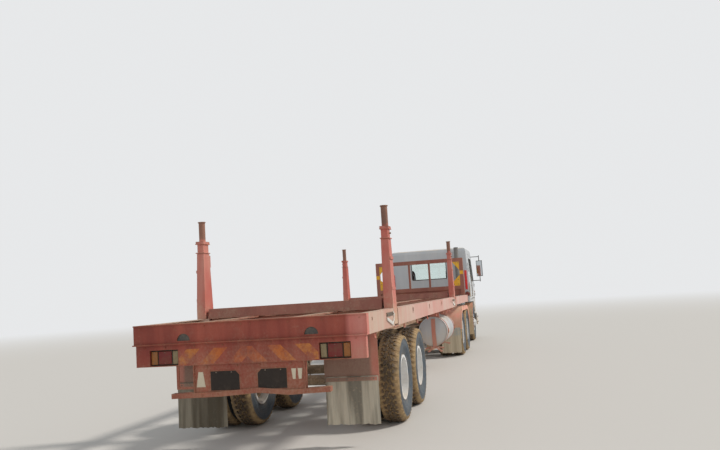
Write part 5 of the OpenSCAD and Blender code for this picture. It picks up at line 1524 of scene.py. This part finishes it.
def build_heat_shield():
    bm = bmesh.new()
    low, high = shield_low, shield_high
    for c in range(shield_columns):
        angle = math.radians(150 + 170 * c / (shield_columns - 1))
        along = Vector((math.cos(angle), math.sin(angle), 0))
        turn = Matrix.Rotation(angle, 3, "Z")
        # Every column has a piece of both end rings, every second one a slat between them
        bands = [(low, low + 0.045, 0.0175), (high - 0.045, high, 0.0175), (low, high, 0.0150)]
        for z0, z1, wide in bands[:3 if c % 2 == 0 else 2]:
            middle = stack + along * shield_radius + Vector((0, 0, (z0 + z1) / 2))
            half = Vector((0.0015, wide, (z1 - z0) / 2))
            add_block(bm, middle - half, middle + half, turn=turn)
    for z in (1.10, 1.74):
        add_ring(bm, stack + Vector((0, 0, z)), 0.128, 0.007, "Z", 32, 1)
    for z in (1.20, 1.62):
        for angle in (160, 225, 310):
            along = Vector((math.cos(math.radians(angle)), math.sin(math.radians(angle)), 0))
            place = stack + Vector((0, 0, z))
            add_bar(bm, place + along * 0.122, place + along * 0.141, 0.007, 8, material=1)
    top = stack + Vector((0, 0, 2.780))
    add_ring(bm, top, 0.062, 0.005, "Z", 24, 1)
    tilt = Matrix.Rotation(math.radians(5), 3, "Y")
    lid = add_bar(bm, (0, 0, -0.0015), (0, 0, 0.0015), 0.066, 24, material=1)
    bmesh.ops.rotate(bm, verts=lid, cent=(0, 0, 0), matrix=tilt)
    bmesh.ops.translate(bm, verts=lid, vec=top + Vector((0.003, 0, 0.0105)))
    make_piece("heat_shield", bm, [galvanised, cast_metal], "tractor")


build_side_fittings()
build_heat_shield()
print("stack at", round(stack.x - rear_x, 3))

# %% [markdown]
# The cab's glass sits in rubber gaskets. A gasket is a rod along the window's outline, with its corners
# cut; it follows the side's lean, because its points take their depth from the height. The windscreen
# leans back and bends round the corners, so its points follow both.

# %% Gaskets, wipers, lamps and grips of the cab
cab_front_d, cab_rear_d = 16.430, 14.380
cab_half = 1.175
waist = 1.750
screen_corner, screen_bend = 0.230, 0.945
# Rods that lie on the cab's side: how far out, and how high the pressed line runs
skin_y, press_z = 1.1745, 1.505
grab_d = 14.93
red_gloss = painted(
    "red gloss", (0.78, 0.012, 0.020), (0.82, 0.10, 0.09), (0.4, 0.3, 0.05, 0.3, 0.3),
    (0.55, 0.40, 0.28), (1.2, 1.8, 0.3, 0.5, 0.04))


def side_surface(z):
    """Half width of the cab's side at height z."""
    return cab_half - max(0.0, z - waist) * 0.0571


def screen_surface(y, z):
    """How far ahead the windscreen's surface lies at a side and a height."""
    past = max(0.0, abs(y) - screen_bend)
    round_off = screen_corner - math.sqrt(screen_corner ** 2 - past ** 2)
    return at(cab_front_d - 0.190 * (z - waist) / 0.850 - round_off)


def cut_corners(points, cut):
    """Each corner of a closed outline becomes two points."""
    result = []
    for i, point in enumerate(points):
        point = Vector(point)
        for other in (points[i - 1], points[(i + 1) % len(points)]):
            result.append(point + (Vector(other) - point).normalized() * cut)
    return result


def build_door_trim(side):
    word = side_words[side]
    bm = bmesh.new()
    pane = ((16.005, 1.790), (15.915, 2.480), (15.110, 2.480), (15.110, 1.790))
    outline = [(at(d), side_surface(z) - 0.002, z) for d, z in pane]
    add_rod(bm, cut_corners(outline, 0.030), 0.011, closed=True)
    # Rubber strip along the lower edge, key plate beside the handle, vertical bar of the quarter light
    add_block(bm, (at(15.05), 1.170, 1.262), (at(16.07), 1.181, 1.282), 0.003)
    add_bar(bm, (at(15.30), 1.172, 1.615), (at(15.30), 1.180, 1.615), 0.014, 16, material=1)
    add_rod(bm, [(at(15.760), side_surface(z) - 0.020, z) for z in (1.795, 2.475)], 0.009)
    for z in (1.34, 1.63):
        add_bar(bm, (at(16.103), 1.189, z + 0.030), (at(16.103), 1.189, z + 0.060), 0.0145, 12, material=1)
    # Pressed line along the skin
    add_rod(bm, [(at(d), skin_y, press_z) for d in (15.07, 16.06)], 0.006, material=2)
    bmesh.ops.scale(bm, vec=(1, side, 1), verts=bm.verts)
    materials = [black_plastic, nut_steel, cab_paint]
    make_piece("door_trim_" + word, bm, materials, "door_" + word)


def add_vent(bm, side):
    """A louvred vent in the side behind the door: a rubber frame and six slanted slats."""
    low, high = 2.080, 2.330
    corners = ((14.560, low), (14.760, low), (14.760, high), (14.560, high))
    border = [(at(d), side * (side_surface(z) + 0.001), z) for d, z in corners]
    add_rod(bm, cut_corners(border, 0.025), 0.006, closed=True)
    turn = Matrix.Rotation(side * math.radians(-28), 3, "X")
    for i in range(6):
        z = low + 0.025 + i * 0.040
        y = side_surface(z)
        inner, outer = sorted((side * (y - 0.004), side * (y + 0.007)))
        add_block(bm, (at(14.572), inner, z - 0.012), (at(14.748), outer, z + 0.012), 0.002, turn, 1, 2)


def build_cab_trim():
    bm = bmesh.new()
    wide, bend, low, high = 1.01, screen_bend, 1.80, 2.56
    screen = ((-wide, low), (-bend, low), (bend, low), (wide, low), (wide, 2.18),
              (wide, high), (bend, high), (-bend, high), (-wide, high), (-wide, 2.18))
    line = [(screen_surface(y, z) - 0.002, y, z) for y, z in screen]
    add_rod(bm, line, 0.013, closed=True)
    corners = ((-0.52, 1.91), (0.52, 1.91), (0.52, 2.47), (-0.52, 2.47))
    back = [(at(cab_rear_d + 0.002), y, z) for y, z in corners]
    add_rod(bm, cut_corners(back, 0.030), 0.013, closed=True)
    for pivot in (-0.78, -0.06):
        start = Vector((screen_surface(pivot, 1.77) + 0.010, pivot, 1.770))
        add_bar(bm, start - Vector((0.014, 0, 0)), start + Vector((0.010, 0, 0)), 0.018, 14)
        middle = Vector((screen_surface(0, 1.90) + 0.026, pivot + 0.36, 1.900))
        add_rod(bm, [start, start.lerp(middle, 0.45) + Vector((0.014, 0, 0)), middle], 0.006)
        ends = ((0.08, 1.865), (0.64, 1.935))
        a, b = (Vector((screen_surface(0, z) + 0.014, pivot + y, z)) for y, z in ends)
        add_rod(bm, [a, b], 0.007)
        add_rod(bm, [a.lerp(b, 0.25), middle, a.lerp(b, 0.75)], 0.004)
    add_block(bm, (at(16.4295), -0.745, 1.050), (at(16.4335), 0.745, 1.610), 0.001)
    # Grab rails behind the doors, and a ledge
    for side in side_words:
        grab = ((1.172, 1.33), (1.205, 1.35), (1.205, 1.93), (side_surface(1.95), 1.95))
        add_rod(bm, [(at(grab_d), side * y, z) for y, z in grab], 0.012, material=1)
        add_rod(bm, [(at(d), side * (skin_y + 0.001), 1.25) for d in (14.46, 14.88)], 0.008)
        add_vent(bm, side)
        # Gutter over the door, and the pressed line behind it
        y = side * (side_surface(2.618) + 0.002)
        gutter = [(at(14.95), y, 2.600), (at(14.99), y, 2.618), (at(16.00), y, 2.618)]
        add_rod(bm, gutter, 0.008, material=2)
        add_rod(bm, [(at(d), side * skin_y, press_z) for d in (14.44, 15.00)], 0.006, material=2)
    make_piece("cab_trim", bm, [black_plastic, nut_steel, cab_paint], "cab")


def build_cab_lamps():
    bm = bmesh.new()
    turn = Matrix.Rotation(math.radians(51.3), 3, "Y")
    for y in (0.34, 0.78):
        middle = Vector((at(16.193), y, 2.660))
        half = Vector((0.022, 0.050, 0.018))
        add_block(bm, middle - half, middle + half, 0.006, turn, 2)
    add_block(bm, (at(16.12), 1.170, 1.440), (at(16.19), 1.192, 1.480), 0.005, None, 2)
    # Lamp, red marker strip and yellow edge on the cab's rear corners
    add_bar(bm, (at(14.382), 1.095, 1.415), (at(14.350), 1.095, 1.415), 0.070, 24, material=2)
    add_bar(bm, (at(14.351), 1.095, 1.415), (at(14.330), 1.095, 1.415), 0.064, 24, 0.046, material=1)
    add_block(bm, (at(14.352), 1.050, 1.545), (at(14.382), 1.118, 2.110), 0.006, None, 2, 3)
    add_block(bm, (at(14.385), 1.174, 1.330), (at(14.425), 1.1775, 1.745), material=4)
    mirrored(bm)
    materials = [amber_lens, red_lens, black_plastic, red_gloss, yellow_paint]
    make_piece("cab_lamps", bm, materials, "cab")


for side in side_words:
    build_door_trim(side)
build_cab_trim()
build_cab_lamps()
print("cab trimmed")

# %% [markdown]
# Headlamps and mirrors. A headlamp is a shallow metal bowl with a bulb behind a clear lens, beside it
# the amber turn lamp in the same housing. It replaces the plain block of the construction. The mirror's
# glass lies on the rear face of its case.

# %% Headlamps, mirror glass, front plate
lamp_y, lamp_z = 0.685, 0.610


def build_headlamps():
    bm = bmesh.new()
    left, right, low, high, wall = 0.597, 0.923, 0.537, 0.683, 0.006
    add_block(bm, (at(16.410), left, low), (at(16.436), right, high), 0.006, None, 2)
    for y0, y1, z0, z1 in (
        (left, left + wall, low, high), (right - wall, right, low, high),
        (left, right, low, low + wall), (left, right, high - wall, high),
    ):
        add_block(bm, (at(16.430), y0, z0), (at(16.478), y1, z1), 0.001)
    add_block(bm, (at(16.412), 0.732, 0.680), (at(16.468), 0.788, 0.760), 0.004)
    bowl = bmesh.ops.create_cone(
        bm, cap_ends=False, segments=32, radius1=0.024, radius2=0.068, depth=0.040,
        matrix=Matrix.Translation((at(16.458), lamp_y, lamp_z)) @ Matrix.Rotation(math.pi / 2, 4, "Y"),
    )["verts"]
    set_material(bowl, 1)
    add_bar(bm, (at(16.437), lamp_y, lamp_z), (at(16.439), lamp_y, lamp_z), 0.026, 20, material=1)
    add_bar(bm, (at(16.438), lamp_y, lamp_z), (at(16.458), lamp_y, lamp_z), 0.010, 14, 0.006, material=2)
    add_block(bm, (at(16.478), 0.600, 0.540), (at(16.4835), 0.826, 0.680), 0.002, None, 1, 2)
    add_block(bm, (at(16.470), 0.830, 0.540), (at(16.4835), 0.920, 0.680), 0.004, None, 2, 3)
    mirrored(bm)
    materials = [black_plastic, silvered, lamp_glass, amber_lens]
    make_piece("headlamp_units", bm, materials, "tractor", ("headlamps",))


def build_mirror_glass():
    bm = bmesh.new()
    add_block(bm, (at(16.2275), 1.303, 1.955), (at(16.2305), 1.467, 2.425), 0.001)
    corners = ((1.297, 1.948), (1.473, 1.948), (1.473, 2.432), (1.297, 2.432))
    border = cut_corners([(at(16.230), y, z) for y, z in corners], 0.02)
    add_rod(bm, border, 0.005, closed=True, material=1)
    mirrored(bm)
    make_piece("mirror_glass", bm, [silvered, black_plastic], "cab")


def build_front_plate():
    bm = bmesh.new()
    corners = ((-0.19, 0.912), (0.19, 0.912), (0.19, 1.024), (-0.19, 1.024))
    add_prism(bm, [(at(cab_front_d), y, z) for y, z in corners], (0.004, 0, 0), 0.001)
    for y in (-0.13, 0.13):
        add_bolt(bm, (at(16.434), y, 1.006), (1, 0, 0), 0.007, 1)
    make_piece("front_plate", bm, [plate_dark, nut_steel], "cab")


def build_bumper_steps():
    bm = bmesh.new()
    for z in (0.500, 0.665):
        add_block(bm, (at(16.05), 1.205, z), (at(16.29), 1.236, z + 0.018), 0.003)
    mirrored(bm)
    make_piece("bumper_steps", bm, [black_plastic], "tractor")


build_headlamps()
build_mirror_glass()
build_front_plate()
build_bumper_steps()
print("front dressed")

# %% [markdown]
# Seats. A cushion is a closed form with crowned faces whose corners pull in. A cube that is divided into
# a grid becomes one when each point is drawn towards a superellipse: the larger the exponent, the
# boxier. Shallow channels are sewn across it, and a piping cord runs round its widest line. The backrest
# leans, and both stand on a plain steel box.

# %% Padded seats
seat_base = Vector((at(14.710), 0.700, 1.220))
boxiness = 5
ring_count = 48


def pull_of(*shares):
    """By what a point's shares are divided to bring it onto the superellipse."""
    return sum(abs(share) ** boxiness for share in shares) ** (1 / boxiness)


def add_cushion(bm, middle, half, turn, channels):
    """Fills an empty bmesh with a cushion. half is its half length, width and thickness; channels are
    sewn at shares of its length."""
    corners = bmesh.ops.create_cube(bm, size=2.0)["verts"]
    bmesh.ops.subdivide_edges(bm, edges=edges_of(corners), cuts=20, use_grid_fill=True)
    made = bm.verts[:]
    for vertex in made:
        u, v, w = vertex.co
        pull = pull_of(u, v, w)
        dip = 0.14 * max(math.exp(-((u - c) / 0.05) ** 2) for c in channels)
        vertex.co = Vector((u / pull * half[0], v / pull * half[1], w / pull * half[2] * (1 - dip)))
    bmesh.ops.transform(bm, matrix=Matrix.Translation(middle) @ turn.to_4x4(), verts=made)
    ring = []
    for i in range(ring_count):
        a = math.tau * i / ring_count
        c, s = math.cos(a), math.sin(a)
        pull = pull_of(c, s)
        ring.append(Vector(middle) + turn @ Vector((c / pull * half[0], s / pull * half[1], 0)))
    add_rod(bm, ring, 0.005, closed=True, material=1)


def build_seat(side):
    word = side_words[side]
    place = Vector((seat_base.x, side * seat_base.y, seat_base.z))
    bm = bmesh.new()
    low, high = Vector((0.045, -0.145, 0)), Vector((0.415, 0.145, 0.275))
    add_block(bm, place + low, place + high, 0.012, None, 2)
    for y in (-0.16, 0.14):
        add_block(bm, place + Vector((0.03, y, 0)), place + Vector((0.44, y + 0.02, 0.022)), 0.002)
    make_piece("seat_base_" + word, bm, [dark_trim], "cab", ("seats",))
    for part, middle, half, lean, channels in (
        ("cushion", (0.262, 0, 0.340), (0.256, 0.236, 0.064), 0, (-0.35, 0.0, 0.35)),
        ("backrest", (0.008, 0, 0.700), (0.298, 0.234, 0.060), 101.3, (-0.5, -0.15, 0.2, 0.55)),
    ):
        bm = bmesh.new()
        turn = Matrix.Rotation(math.radians(-lean), 3, "Y")
        add_cushion(bm, place + Vector(middle), half, turn, channels)
        name, materials = f"seat_{part}_{word}", [seat_cloth, black_plastic]
        piece = make_piece(name, bm, materials, "cab", ("seats",), 60)


for side in side_words:
    build_seat(side)
print("seats ready")
